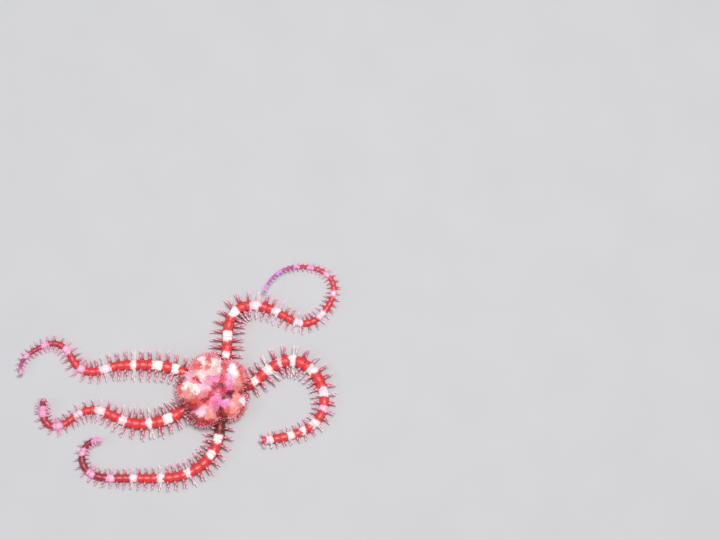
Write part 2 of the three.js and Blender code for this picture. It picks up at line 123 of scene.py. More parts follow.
# The mouth. The rings of a jaw hold a height and a share of its outline.
JAW_OUTER_RADIUS = 4.35
JAW_HEIGHT = 1.9
JAW_TIP_RADIUS = 0.75
JAW_TIP_HALF = 0.22
JAW_SLIT = 0.5
JAW_BULGE = 0.15
JAW_SIDES = 40
JAW_UNDERSIDE = 0.14
JAW_RINGS = (
    (0.1, 0.55), (0.02, 0.8), (0.12, 0.93), (0.4, 1), (JAW_HEIGHT - 0.2, 1), (JAW_HEIGHT - 0.05, 0.9),
)
PAPILLA_REACHES = np.arange(1.2, 4.0, 0.5)
PAPILLA_RADIUS = 0.14
PAPILLA_LENGTH = 0.34
PAPILLA_LEVEL = 0.3
PAPILLA_ASIDE = 0.36
PAPILLA_SPLAY = 0.03
PAPILLA_AIM = 0.5

# The seeds of the random draws
SPINE_SEED = 20
RING_SEED = 60
GRANULE_SEED = 70
SPINELET_SEED = 71
PAPILLA_SEED = 80

# The arms: how their middle line, segments, ends and rings are laid out. Each segment is a tile that is as
# wide as the scales say at the places along it.
WALK = 0.1
ARM_ROOT_RADIUS = 4.9
ARM_HEIGHT_SHARE = 0.72
BEND_STEP = 5
SEGMENT_BASE = 0.9
SEGMENT_SHARE = 0.42
TIP_STRETCH = 1.5
TIP_BEYOND = 0.25
ROOT_STRETCH = 1.8
ROOT_BEYOND = 0.15
END_LEVEL = 0.4
TIP_POINT = 0.35
SKIN_SCALE = 0.965
ARM_SIDES = 36
RING_PLACES = np.array([0.0, 0.05, 0.12, 0.24, 0.38, 0.52, 0.66, 0.79, 0.89, 0.95])
TILE_PLACES = [0, 0.05, 0.14, 0.5, 0.88, 0.95, 1]
TILE_SCALES = [0.89, 0.94, 0.965, 0.985, 1.02, 1.0, 0.89]

# An arm's section: the height at which it is widest, as a share, and the powers that round its sides, crest
# and sole. A ridge on both sides carries the spines: its angle from the crest, how far it spreads along a
# segment and round the section, and its height as a share of the width.
WIDEST_AT = 0.42
SIDES_POWER = 0.85
CREST_POWER = 0.9
SOLE_POWER = 0.6
RIDGE_ANGLE = 1.45
RIDGE_SPREAD_ALONG = 0.2
RIDGE_SPREAD_ROUND = 0.7
RIDGE_HEIGHT = 0.07

# The bands fade out from a share of their half length to a larger one and a little beyond. A block on the
# crest ends at an angle and fades over a further one.
BAND_FULL = 0.85
BAND_END = 1.1
BAND_BEYOND = 0.12
BLOCK_ANGLE = 0.95
BLOCK_FADE = 0.25
JOINT_SHADE_LENGTH = 0.16
DUSK_REACH = (31, 52)

# The arms' spines
SPINE_PLACE = 0.62
SPINE_PLACE_VARY = 0.03
SPINE_RISE_VARY_DEG = 3.5
SPINE_LEAN_DEG = 4
SPINE_LEAN_VARY_DEG = 2
SPINE_STAGGER = 0.08
STAGGER_LEAN_DEG = 15
SPINE_LONG_VARY = (0.84, 1.08)
SPINE_WIDE_SHARE = 0.165
SPINE_LEAST_WIDE = 0.3
SPINE_WIDE_VARY = (0.85, 1.1)
SPINE_FLATNESS = 0.8
SPINE_BOW = 0.05
SPINE_LEAST_SWAY = 0.04
SPINE_SWAY = 0.12
SPINE_ROOT = 0.3
SPINE_FLOOR = 0.14

# The rows of spines on a side of an arm wider than the first number: angle above the horizontal, place round
# the section from the crest, and share of the full length
SPINE_ROWS = [
    (2.7, [(60, 0.95, 0.6), (42, 1.2, 0.85), (25, 1.45, 1), (9, 1.72, 1), (-5, 2, 0.8)]),
    (2, [(56, 1, 0.65), (36, 1.3, 0.9), (16, 1.6, 1), (-2, 1.9, 0.85)]),
    (1.2, [(50, 1.05, 0.75), (24, 1.4, 1), (0, 1.8, 0.9)]),
    (0, [(38, 1.1, 0.9), (6, 1.65, 1)]),
]

# The plates of an arm: place round the section from the crest, half length as a share of the segment, half
# width as an angle, height on an arm of full width, how much they are paled, and the seed of their draws
CREST_PLATE = (0, 0.4, 0.56, 0.09, 0, 30)
SOLE_PLATE = (np.pi, 0.42, 0.42, 0.03, 0.1, 40)
FOOT_SCALE = (2.45, 0.16, 0.11, 0.12, 0.2, 50)
PLATE_PLACE = 0.52
PLATE_ENDS = (0.15, 0.85)
PLATE_VARY = (0.93, 1.05)
FULL_WIDTH = 3

# The ring of granules round each crest plate: how many, their radius on an arm of full width, the ring's half
# length as a share of half a segment, its half width as an angle, and how much the granules vary in size
RING_COUNT = 14
RING_GRANULE_RADIUS = 0.15
RING_LENGTH = 0.98
RING_ANGLE = 0.83
RING_SIZE_VARY = (0.75, 1.2)

# How far to both sides of a place a skin is read to find its slopes: millimetres and an angle on an arm, and
# a share and degrees on the disc
ARM_STEPS = (0.2, 0.15)
DISC_STEPS = (0.012, 1.5)

# The unwrap, in shares of its side: an upright strip for each arm, two rounds for the disc's top and its
# underside, a patch for each jaw, and how wide the faces of one spine or granule, and of one plate, are
STRIP_START = 0.012
STRIP_STEP = 0.118
STRIP_WIDTH = 0.105
STRIP_END = 0.015
STRIP_LENGTH = 0.97
ROUND_RADIUS = 0.19
ROUND_ACROSS = 0.8
TOP_ROUND = 0.74
UNDER_ROUND = 0.28
JAW_PATCH = np.array([0.17, 0.9])
JAW_PATCH_STEP = 0.19
PATCH = 0.003
PLATE_PATCH = 0.024

# Each arm leaves the mouth at the angle theta, in a heading, and has a length and a number of solid lengths.
# bends holds by how many degrees a millimetre it turns, stated every BEND_STEP, lift [distance, upward slope
# in degrees], widths and spines [distance, millimetres], and bands [distance, half length, tone, reach] of
# the pale bands. The tone runs from 0 for white over 0.5 for pink to 1 for violet, and the reach from 0 for a
# block on the crest to 1 for a ring that takes in the spines. A reach below 0 makes the block narrower. The
# red turns rose between the two distances of rosy, and dusk says how much darker it grows by the arm's end.
# root_brown_and_shade holds how far the brown by the disc, partly painted shade under the disc's edge,
# reaches, and its strength.
ARMS = [
    dict(
        theta=146.5, heading=144.8, length=60.6, lengths=4, rosy=(30, 57), dusk=0.5, root_brown_and_shade=(5.4, 0.3),
        bends=[1.8, 2.6, 2.6, 0.8, 0.6, 4.3, -6.1, -12.4, 4.9, 14.2, 0.8, 10.2, 12.5, 12.2],
        lift=[[49, 0], [55, 14], [60.6, 22]],
        widths=[[0, 3], [9, 3.3], [18, 3.1], [30, 2.3], [38, 2], [47, 1.6], [60.6, 0.8]],
        spines=[[5, 3], [20, 3.1], [30, 2.6], [45, 2], [60, 0.9]],
        bands=[
            [7.7, 0.95, 0, 0], [12.8, 1.35, 0, 0.1], [19.5, 0.7, 0.1, 1], [27.5, 1.4, 0.15, 1],
            [34.3, 0.85, 0.4, 1], [41.2, 1.1, 0.45, 1], [48, 1.1, 0.5, 1], [54.5, 0.8, 0.55, 1],
            [59.5, 0.6, 0.6, 1],
        ],
    ),
    dict(
        theta=207.4, heading=216.7, length=54.4, lengths=4, rosy=(44, 51), dusk=0.7, root_brown_and_shade=(5.9, 0.6),
        bends=[0.9, -1.2, -4.1, -1.8, -5.7, -0.2, 5.5, 9, -4.8, -19.3, -6.9, -3, 0],
        lift=[[48.5, 0], [54.4, 62]],
        widths=[[0, 3], [10, 3.4], [19, 3.3], [27, 2.6], [34, 2.1], [45, 2], [51, 2.2], [54.4, 1.7]],
        spines=[[5, 3], [18, 3.2], [34, 2.3], [45, 1.7], [54.4, 1.2]],
        bands=[
            [10.2, 1.2, 0, 0], [15.5, 0.8, 0.05, 1], [22.9, 1, 0.15, 0.7], [29.9, 1.4, 0.15, 0.8],
            [36.3, 1.1, 0.3, 0.8], [42.9, 1.35, 0.5, 0.9], [50.2, 1.8, 0.5, 0.9], [54.6, 0.5, 0.45, 0],
        ],
    ),
    dict(
        theta=283, heading=284.7, length=64, lengths=5, rosy=(34, 60), dusk=0.9, root_brown_and_shade=(7.8, 0.95),
        bends=[-3, -3.1, -4.2, -4.3, -3.7, -3.7, -0.4, -0.3, 0.6, -3.2, -10.4, -11.4, -13.4, -9],
        lift=[[56, 0], [61, 32], [64, 42]],
        widths=[[0, 3], [10, 3.3], [24, 2.8], [40, 2.4], [52, 2], [60, 1.6], [64, 1.1]],
        spines=[[5, 3], [20, 2.8], [32, 2.3], [45, 1.9], [58, 1.2], [64, 0.5]],
        bands=[
            [8.8, 1.1, 0, -0.15], [13.7, 0.9, 0, -0.15], [21.9, 0.7, 0.1, 0.9], [29.7, 0.95, 0.1, 0.9],
            [37.2, 0.95, 0.15, 0.7], [43.5, 1.1, 0.4, 0.7], [49.3, 1.1, 0.5, 0.8], [56.3, 1.2, 0.5, 0.8],
            [62.5, 1.6, 0.6, 0.8],
        ],
    ),
    dict(
        theta=3.5, heading=6.6, length=59.2, lengths=5, rosy=(55, 60), dusk=0, root_brown_and_shade=(5.7, 0.4),
        bends=[4.6, 4.1, 0.7, -6.4, -8.3, -5.1, -4.2, -5.7, -7.1, -4, -1.5, -0.3, 0.4, 0],
        lift=[[53, 0], [59.2, 58]],
        widths=[[0, 3], [9, 3.3], [21, 3.5], [30, 3.1], [38, 2.7], [44, 2.7], [56, 2.5], [59.2, 1.9]],
        spines=[[5, 3], [22, 3.2], [34, 2.4], [45, 1.8], [59.2, 1.3]],
        bands=[
            [6.9, 1.05, 0, -0.3], [11.7, 1, 0.05, 1], [15.6, 0.42, 0.2, 0], [19.3, 0.95, 0.05, 0.9],
            [25.4, 1, 0.1, 0.7], [32.5, 1.2, 0.15, 0.8], [37, 0.85, 0.4, 0.8], [41.8, 1.2, 0.1, 0.7],
            [45.7, 0.7, 0.1, 0.3], [49.3, 1, 0.1, 0.5], [56.3, 1.35, 0.1, 0.6], [59.4, 0.4, 0.45, 1],
        ],
    ),
    dict(
        theta=69.7, heading=61.4, length=80.1, lengths=6, rosy=(40, 76), dusk=0, root_brown_and_shade=(4.6, 0.3),
        bends=[5.6, 2.6, 0, -5.4, -11.7, -3.7, -3.5, 2.2, 11.6, 4.2, 4.3, 12, 6.4, 3.4, 5.8, 4.7, 5.8],
        lift=[[60, 0], [65, 16], [74, 16], [80.1, 6]],
        widths=[[0, 3], [11, 3.1], [26, 2.9], [33, 2.3], [41, 1.95], [50, 1.6], [60, 1.35], [80.1, 0.6]],
        spines=[[4, 3.4], [12, 3.6], [22, 2.9], [33, 2.7], [42, 2.1], [52, 1.7], [62, 1], [72, 0.5]],
        bands=[
            [5.7, 0.95, 0.1, -0.35], [11.2, 1.4, 0, 0.1], [18.1, 1.3, 0, 0], [24.6, 1.4, 0.15, 0.9],
            [30.8, 0.95, 0.1, 0.8], [37.7, 1.1, 0.15, 0.9], [44.9, 1.25, 0.2, 0.8], [52, 0.95, 0.35, 0.8],
            [58, 0.95, 0.45, 0.8], [63.3, 0.85, 0.55, 0.8], [67.4, 0.85, 0.6, 0.8], [73, 0.85, 0.9, 0.8],
            [78.7, 0.9, 1, 0.8],
        ],
    ),
]


def tone(red, green, blue):
    """A colour given as it looks on a screen, from 0 to 255, in the linear values that shaders use."""
    share = np.array([red, green, blue]) / 255
    return np.where(share > 0.04045, ((share + 0.055) / 1.055) ** 2.4, share / 12.92)


# The animal's colours
RED = tone(234, 56, 60)
DARK_RED = tone(120, 10, 12)
ROSE = tone(216, 62, 96)
VIOLET = tone(214, 112, 214)
# A pale line along the crest, partly a painted highlight
MIDLINE_AND_HIGHLIGHT = tone(255, 126, 112)
BELLY = tone(240, 196, 180)
BAND_TONES = np.array([tone(255, 250, 248), tone(255, 176, 212), tone(232, 156, 250)])
SPINE_ROSE = tone(228, 132, 156)
SPINE_TIP = tone(252, 218, 228)
SPINE_LILAC = tone(240, 196, 218)
WHITE = tone(255, 250, 250)
CREAM = tone(255, 243, 232)
BLUSH = tone(253, 208, 206)
LILAC = tone(255, 208, 224)
PINK = tone(254, 164, 188)
ORCHID = tone(253, 136, 182)
LAVENDER = tone(255, 152, 208)
SALMON = tone(255, 162, 156)
CORAL = tone(244, 102, 92)
SCARLET = tone(218, 46, 50)
# MAROON, BRICK and UMBER serve both as dark markings and as painted shade by the arms' roots
MAROON = tone(140, 24, 52)
BRICK = tone(160, 44, 40)
UMBER = tone(96, 18, 18)

# Where the layers of colour fade in: widths and angles from the crest on the arms, shares of the length on
# the spines, and levels, degrees and shares of the radius on the disc
VIOLET_WIDTHS = (1.15, 0.8)
# The crest's pale line, partly a painted highlight, fades in by these
MIDLINE_HIGHLIGHT_ANGLE = 0.12
MIDLINE_HIGHLIGHT_WIDTHS = (0.8, 1.6)
ROOT_FADE = 0.7
# The painted shade on the flanks fades in between these angles
FLANK_SHADE_ANGLES = (0.8, 1.5)
BELLY_ANGLES = (1.75, 2.4)
SPINE_FLANK = (1.2, 1.6)
SPINE_FREE = (0.1, 0.45)
SPINE_END = (0.55, 0.95)
RED_MARGIN_LEVELS = (3.8, 2.4)
BELLY_LEVELS = (1.9, 1.2)
# Where the red painted shade in the furrows over the arms fades in
FURROW_SHADE_DEG = 8.4
FURROW_SHADE_REACHES = (0.4, 0.85)

# Ripples that break up the markings: wavelength in millimetres and seed, with the strength between them for
# the edges of bands and blotches, which fade out from a larger share of the radius to a smaller one
ARM_MOTTLE = (1.4, 4)
DISC_MOTTLE = (3, 15)
BAND_WOBBLE = ((2.2, 0.15, 5), (0.7, 0.08, 6))
BLOTCH_WANDER = ((2.6, 0.2, (11, 12)), (0.8, 0.18, (13, 14)))
BLOTCH_EDGE = np.array([1.12, 0.8])

# Blotches on top of the disc, each from one place to another: x, y, x, y and radius in millimetres about
# the mouth, strength and colour. Later ones lie over earlier ones.
BLOTCHES = [
    (-8.8, -1.4, -4.6, -2, 1.5, 1, SALMON),
    (-7.4, 3.9, -5.8, 4.2, 1.3, 0.9, LILAC),
    (-3.6, 5, 0.6, 5.6, 1.8, 1, BLUSH),
    (5.2, 5.2, 5.6, 2.4, 1.7, 1, BLUSH),
    (6.8, 1.6, 6.6, -1, 1.4, 1, SALMON),
    (5.8, -4.2, 6.2, -6.2, 1.9, 1, SALMON),
    (-1.2, -6.4, -0.2, -7.6, 1.6, 1, SALMON),
    (-3, -6.2, -3.7, -7.2, 1.25, 1, LILAC),
    (-1.2, -5, 0.8, -4.9, 1.1, 0.9, PINK),
    (-4.2, 0, -2.3, 1, 1.5, 1, LILAC),
    (-1.2, 2.2, -0.8, -0.4, 0.8, 0.8, PINK),
    (-3.6, 2.6, -2.2, 3, 1, 0.9, LILAC),
    (-0.8, 2.6, 1.4, 2.6, 1.1, 0.9, ORCHID),
    (0.4, 0.4, 3.4, -1, 1.4, 0.9, ROSE),
    (2.6, 2.6, 2.9, 0.6, 0.6, 0.8, ROSE),
    (0.9, -2.4, 0.4, -4.2, 1.4, 1, ORCHID),
    (3, -3, 4.4, -3, 0.6, 0.7, ROSE),
    (2.2, -4.6, 3.6, -4, 1, 1, LAVENDER),
    (4.2, 3, 4.6, 0.6, 0.8, 1, LAVENDER),
    (-9.3, 1, -9.4, -1.8, 0.6, 0.9, CORAL),
    (-6, -3.4, -3.8, -4, 0.9, 0.9, CORAL),
    (-3.8, -4.7, -1.8, -4.1, 0.8, 0.9, CORAL),
    (-4.4, -3, -2.4, -3, 0.7, 0.8, CORAL),
    (4, -5.8, 4.6, -7.2, 0.8, 0.9, CORAL),
    (-2, 8.2, -1.7, 5.9, 0.75, 0.9, CORAL),
    (3.1, 7.1, 3.5, 4.8, 0.35, 0.95, SCARLET),
    (2.2, 3.4, 2, 1, 0.5, 0.9, SCARLET),
    (7.2, 6.3, 8.1, 2.6, 0.5, 0.9, CORAL),
    (-5.2, 3, -3.5, 1.7, 0.45, 0.95, SCARLET),
    (-0.5, -1.3, -2.6, -3.6, 0.8, 0.95, SCARLET),
    (-1.4, -2.3, -2.7, -3.3, 0.6, 0.65, MAROON),
    (-3.2, -9.2, 0.8, -9.4, 0.8, 0.9, SCARLET),
    (8.1, -5.2, 6.8, -7.4, 0.5, 0.9, SCARLET),
    (-4.1, 4.8, -3.3, 3.2, 0.95, 1, CREAM),
    (-7.9, 0.4, -6.4, 1.3, 0.8, 1, CREAM),
    (-5.4, 0.2, -4.6, -1, 0.95, 1, CREAM),
    (-5.4, 6.4, -3.9, 5.8, 0.6, 0.95, CORAL),
    (0.1, 8.2, 0.2, 7, 0.65, 1, CREAM),
    (1.4, 7.4, 1.6, 5.2, 0.75, 1, WHITE),
    (2.2, 8.4, 3.2, 8, 0.6, 0.9, PINK),
    (-4.2, 8.2, -2.9, 9, 0.5, 1, WHITE),
    (-3.3, 8.6, -3.2, 7.6, 0.55, 1, WHITE),
    (4.6, 6.2, 5.6, 5, 1, 1, WHITE),
    (8, -3.2, 8.4, -4, 0.65, 1, WHITE),
    (1, 0.1, 2.5, 0.9, 0.65, 0.9, MAROON),
    (5.1, -0.7, 4.5, -1.9, 0.7, 0.95, MAROON),
    (4.3, -2.1, 2.9, -2.4, 0.85, 1, MAROON),
    (4.4, -1.8, 3.2, -2.4, 0.5, 0.6, UMBER),
    # The maroon and umber blotches from here on, over the notches where the arms leave, and the brick ones at
    # the lower left, are partly the disc's dark markings and partly painted shade where the disc overhangs
    # the arms
    (7.8, -0.4, 8.1, -0.8, 0.85, 0.9, MAROON),
    (9, 1.2, 9.6, 0.6, 0.9, 0.8, UMBER),
    (8.8, 5.8, 9.4, 4.6, 0.6, 0.8, SCARLET),
    (-8.5, 3.4, -9.3, 1.9, 0.85, 0.8, UMBER),
    (-8.8, -3.6, -5.4, -5.2, 1.1, 0.9, BRICK),
    (-8.4, -4.6, -6.4, -5.8, 0.8, 0.9, UMBER),
    (-7.4, -6.2, -6.4, -8.4, 0.8, 0.9, UMBER),
    (-5.4, -7.8, -4.6, -9, 0.8, 0.8, BRICK),
    (2.2, -6, 3.2, -7.6, 1.05, 1, UMBER),
    (0.9, -6.9, 1.8, -7.4, 0.55, 0.8, MAROON),
    (3, -8, 1.6, -9.4, 0.95, 1, UMBER),
    (-2.4, -9.6, 0.4, -9.8, 0.5, 0.7, MAROON),
]


def smooth(low, high, value):
    """Rises from 0 at low to 1 at high along a smooth S, whichever of the two is larger."""
    share = np.clip((value - low) / (high - low), 0, 1)
    return share * share * (3 - 2 * share)


def bell(value, reach):
    """A bell curve: 1 where the value is 0, and about a third where it is the reach."""
    return np.exp(-((value / reach) ** 2))


def blend(first, second, weight):
    """Mixes two colours, or arrays of them, by a weight for each place."""
    weight = np.asarray(weight)[..., None]
    return first * (1 - weight) + second * weight


def painted(colour, *layers):
    """A colour with others laid over it one after another. Each layer is a colour and its weights."""
    for shade, weight in layers:
        colour = blend(colour, shade, weight)
    return colour


UP = np.array([0, 0, 1])
ASKEW = np.array([0.3, 0.1, 0.2])


def unit(vectors):
    """Vectors brought to length 1."""
    return vectors / np.maximum(np.linalg.norm(vectors, axis=-1, keepdims=True), 1e-9)


def ripple(points, wavelength, seed):
    """A smooth random field of about unit strength: sixteen sine waves in random directions, summed."""
    draw = np.random.default_rng(seed)
    ways = unit(draw.normal(size=(16, 3))) / (wavelength * draw.uniform(0.7, 1.4, (16, 1)))
    starts = draw.uniform(0, 2 * np.pi, 16)
    return np.sin(2 * np.pi * (points @ ways.T) + starts).sum(-1) / np.sqrt(8)


def toward(turn, slope=0.0):
    """The way of length 1 in a direction round the upright and at an upward slope, both in radians."""
    flat = np.cos(slope)
    return np.stack([flat * np.cos(turn), flat * np.sin(turn), np.sin(slope) + 0 * turn], -1)


def way_out(skin, first, second, steps):
    """The way straight out of a skin of two measures: across the slopes of the skin along both of them."""
    ahead = skin(first + steps[0], second) - skin(first - steps[0], second)
    aside = skin(first, second + steps[1]) - skin(first, second - steps[1])
    return unit(np.cross(ahead, aside))


def rotated(x, y, degrees):
    """Flat places turned about the origin."""
    turn = np.radians(degrees)
    return x * np.cos(turn) - y * np.sin(turn), x * np.sin(turn) + y * np.cos(turn)


def read(knots, place):
    """A value read between [place, value] knots, and held past both ends."""
    places, values = zip(*knots)
    return np.interp(place, places, values)


# Arms

def walk(arm):
    """Walks the middle line of an arm's underside, and stores its places and ways in the arm: each short
    step goes ahead, and the heading turns by the bend rate half way along it."""
    s = np.arange(0, arm["length"] + 2 * WALK, WALK)
    rate = np.interp(s + WALK / 2, BEND_STEP * np.arange(len(arm["bends"])), arm["bends"])
    heading = np.radians(arm["heading"] + WALK * (np.cumsum(rate) - rate))
    ahead = toward(heading, np.radians(read(arm["lift"], s)))
    arm["s"] = s
    arm["ahead"] = ahead
    arm["left"] = np.cross(UP, toward(heading))
    start = ARM_ROOT_RADIUS * toward(np.radians(arm["theta"]))
    arm["place"] = start + WALK * (np.cumsum(ahead, axis=0) - ahead)


def joints_of(arm):
    """The joints between the segments: each segment is a base length plus a share of the arm's width."""
    joints = [0.0]
    while joints[-1] < arm["length"] - 1:
        joints.append(joints[-1] + SEGMENT_BASE + SEGMENT_SHARE * read(arm["widths"], joints[-1]))
    joints[-1] = arm["length"]
    return np.array(joints)


def segments(arm):
    """Where each segment of an arm starts, and its length, as columns."""
    return arm["joints"][:-1, None], np.diff(arm["joints"])[:, None]


def width_at(arm, s):
    """The arm's width, which closes to a blunt tip over the last stretch by a square root."""
    closing = np.sqrt(np.clip((arm["length"] - s + TIP_BEYOND) / TIP_STRETCH, 0.01, 1))
    return read(arm["widths"], s) * closing


def root_rounding(s):
    """The share of its width that an arm keeps by its root, under the disc, where it starts as a tongue that
    widens by a square root."""
    return np.sqrt(np.clip((s + ROOT_BEYOND) / ROOT_STRETCH, 0.05, 1))


def stand(arm, s):
    """The place on the underside's middle line at a distance, and the ways ahead, left and up there."""
    at = [np.stack([np.interp(s, arm["s"], arm[key][:, i]) for i in range(3)], -1) for key in
          ("place", "ahead", "left")]
    place, ahead, left = at[0], unit(at[1]), unit(at[2])
    return place, ahead, left, np.cross(ahead, left)


def segment_share(arm, s):
    """How far a distance lies along its own segment, from 0 to 1, and that segment's length."""
    joints = arm["joints"]
    own = np.clip(np.searchsorted(joints, s, side="right") - 1, 0, len(joints) - 2)
    length = joints[own + 1] - joints[own]
    return np.clip((s - joints[own]) / length, 0, 1), length


def section(angle):
    """An arm's section by the angle from its crest, in shares of half width and of height: a rounded crest
    above the height at which it is widest, and a nearly flat sole below."""
    across = np.sign(np.sin(angle)) * np.abs(np.sin(angle)) ** SIDES_POWER
    lean = np.cos(angle)
    crest = WIDEST_AT + (1 - WIDEST_AT) * np.abs(lean) ** CREST_POWER
    sole = WIDEST_AT * (1 - np.abs(lean) ** SOLE_POWER)
    return across, np.where(lean > 0, crest, sole)


def arm_skin(arm, s, angle, share=None):
    """A point of the arm's skin: the section, scaled along each segment as an overlapping tile and drawn in
    by the root, with a ridge on both sides where the spines stand."""
    s, angle = np.broadcast_arrays(s, angle)
    place, _, left, up = stand(arm, s)
    share = segment_share(arm, s)[0] if share is None else share
    width = width_at(arm, s)
    ridge = bell(share - SPINE_PLACE, RIDGE_SPREAD_ALONG)
    ridge = ridge * bell(np.abs(angle) - RIDGE_ANGLE, RIDGE_SPREAD_ROUND)
    size = width * SKIN_SCALE * np.interp(share, TILE_PLACES, TILE_SCALES) * (1 + RIDGE_HEIGHT * ridge)
    size = size * root_rounding(s)
    across, high = section(angle)
    base = width * ARM_HEIGHT_SHARE * (1 - SKIN_SCALE) / 2
    rise = base + size * ARM_HEIGHT_SHARE * high
    return place + left * (size * across / 2)[..., None] + up * rise[..., None]


def arm_out(arm, s, angle):
    """The way straight out of an arm's skin, with the section as it is half way along a segment."""
    return way_out(lambda along, round_: arm_skin(arm, along, round_, 0.5), s, angle, ARM_STEPS)


def band_weight(arm, s, angle):
    """How strongly each place lies in a pale band, and the band's colour there. A band of little reach ends
    beside the crest, and one of a reach below 0 ends sooner."""
    s, angle = np.broadcast_arrays(s, np.abs(angle))
    weight = np.zeros(s.shape)
    shade = np.zeros(s.shape + (3,))
    for place, half, kind, reach in arm["bands"]:
        along = 1 - smooth(half * BAND_FULL, half * BAND_END + BAND_BEYOND, np.abs(s - place))
        edge = BLOCK_ANGLE * (1 + min(reach, 0))
        inside = along * np.maximum(reach, 1 - smooth(edge, edge + BLOCK_FADE, angle))
        colour = [np.interp(kind, [0, 0.5, 1], BAND_TONES[:, i]) for i in range(3)]
        shade = blend(shade, np.array(colour), np.where(inside > weight, 1, 0))
        weight = np.maximum(weight, inside)
    return weight, shade


def arm_colour(arm, s, angle, points):
    """The arm's colour: red that turns rose, dusky and violet to the tip, darker at the joints, with painted
    shade on the flanks, brown by the disc that is partly painted shade, a pale line along the crest that is
    partly a painted highlight, a pale underside, and the bands over all of it."""
    s, angle = np.broadcast_arrays(s, angle)
    width = read(arm["widths"], s)
    share, length = segment_share(arm, s)
    joint = bell(np.minimum(share, 1 - share) * length, JOINT_SHADE_LENGTH)
    root_reach, root_strength = arm["root_brown_and_shade"]
    colour = painted(
        RED,
        (ROSE, smooth(*arm["rosy"], s)),
        (MAROON, arm["dusk"] * smooth(*DUSK_REACH, s)),
        (VIOLET, 0.9 * smooth(*VIOLET_WIDTHS, width)),
        (DARK_RED, 0.3 * joint),
        (DARK_RED, 0.15 * smooth(0.2, 1.6, ripple(points, *ARM_MOTTLE))),
        # Brown by the disc, partly painted shade under the disc's overhanging edge
        (UMBER, root_strength * smooth(root_reach + ROOT_FADE, root_reach - ROOT_FADE, s)),
        # A pale line along the crest, partly a painted highlight
        (MIDLINE_AND_HIGHLIGHT, 0.35 * bell(angle, MIDLINE_HIGHLIGHT_ANGLE) * smooth(*MIDLINE_HIGHLIGHT_WIDTHS, width)),
        # Painted shade on the flanks
        (DARK_RED, 0.4 * smooth(*FLANK_SHADE_ANGLES, np.abs(angle))),
        (BELLY, 0.8 * smooth(*BELLY_ANGLES, np.abs(angle))),
    )
    wobble = sum(strength * ripple(points, length, seed) for length, strength, seed in BAND_WOBBLE)
    weight, shade = band_weight(arm, s + wobble, angle + wobble)
    return blend(colour, shade, weight * (1 - 0.2 * joint))


# The disc

def meridian(share):
    """The disc's section from the middle of its underside to the middle of its top, in shares of the
    radius and heights: a smooth curve through the knots."""
    place = np.clip(share, 0, 1) * (len(MERIDIAN) - 1)
    own = np.clip(place.astype(int), 0, len(MERIDIAN) - 2)
    t = (place - own)[..., None]
    knots = np.vstack([2 * MERIDIAN[0] - MERIDIAN[1], MERIDIAN, 2 * MERIDIAN[-1] - MERIDIAN[-2]])
    a, b, c, d = (knots[own + k] for k in range(4))
    return b + t * ((c - a) + t * ((2 * a - 5 * b + 4 * c - d) + t * (3 * b - 3 * c + d - a))) / 2


def around_disc(x, y):
    """The angle in degrees and the distance of flat places about the disc's centre."""
    return np.degrees(np.arctan2(y, x - DISC_CENTRE_X)), np.hypot(x - DISC_CENTRE_X, y)


def off_furrow(degrees):
    """How far a direction lies from the middle of the nearest furrow over an arm, in degrees."""
    return (degrees - DISC_FIRST_LOBE_DEG) % ARM_STEP_DEG - ARM_STEP_DEG / 2


def lobe_radius(degrees):
    """The disc's radius in a direction: full over each lobe and drawn in over each arm by a cosine."""
    turns = ((degrees - DISC_FIRST_LOBE_DEG) / ARM_STEP_DEG) % LOBES
    off = (turns - np.round(turns)) * ARM_STEP_DEG
    swell = np.clip(np.cos(np.radians(off * LOBES / 2)), 0, 1) ** LOBE_POWER
    full = DISC_LOBE_RADII[np.round(turns).astype(int) % LOBES]
    return DISC_NOTCH_RADIUS + (full - DISC_NOTCH_RADIUS) * swell


def disc_skin(share, degrees):
    """A point of the disc's skin: the meridian carried round, with swollen lobes, a furrow over each arm that
    deepens outwards as a bell curve of the angle, and soft lumps. Pale blotches swell and dark ones sink."""
    share, degrees = np.broadcast_arrays(share, degrees)
    reach, z = np.moveaxis(meridian(share), -1, 0)
    lobe = np.cos(np.radians(LOBES * (degrees - DISC_FIRST_LOBE_DEG)))
    furrow = DISC_FURROW * bell(off_furrow(degrees), DISC_FURROW_DEG) - LOBE_CROWN * lobe
    z = z - furrow * smooth(*FURROW_LEVELS, z) * smooth(*FURROW_REACHES, reach)
    radius = reach * lobe_radius(degrees) * DISC_SKIN_SCALE
    turn = np.radians(degrees)
    bare = np.stack([DISC_CENTRE_X + radius * np.cos(turn), radius * np.sin(turn), z - DISC_SKIN_DROP], -1)
    lumps = LUMP_HEIGHT * ripple(bare, LUMP_LENGTH, 7) * smooth(*LUMP_LEVELS, z)
    relief = BLOTCH_RELIEF * (disc_colour(bare).mean(-1) - LEVEL_BRIGHTNESS) * smooth(*RELIEF_LEVELS, z)
    middle = np.array([DISC_CENTRE_X, 0, BODY_LEVEL])
    return bare + unit(bare - middle) * (lumps + relief)[..., None]


def disc_out(share, degrees):
    """The way straight out of the disc's skin, whose share runs inwards over the top."""
    return -way_out(disc_skin, share, degrees, DISC_STEPS)


def on_top(x, y):
    """The share of the meridian and the angle at which a place on the disc's top lies."""
    degrees, distance = around_disc(x, y)
    shares = np.linspace(1, TOP_SHARE, 300)
    wanted = distance / (lobe_radius(degrees) * DISC_SKIN_SCALE)
    return np.interp(wanted, meridian(shares)[:, 0], shares), degrees


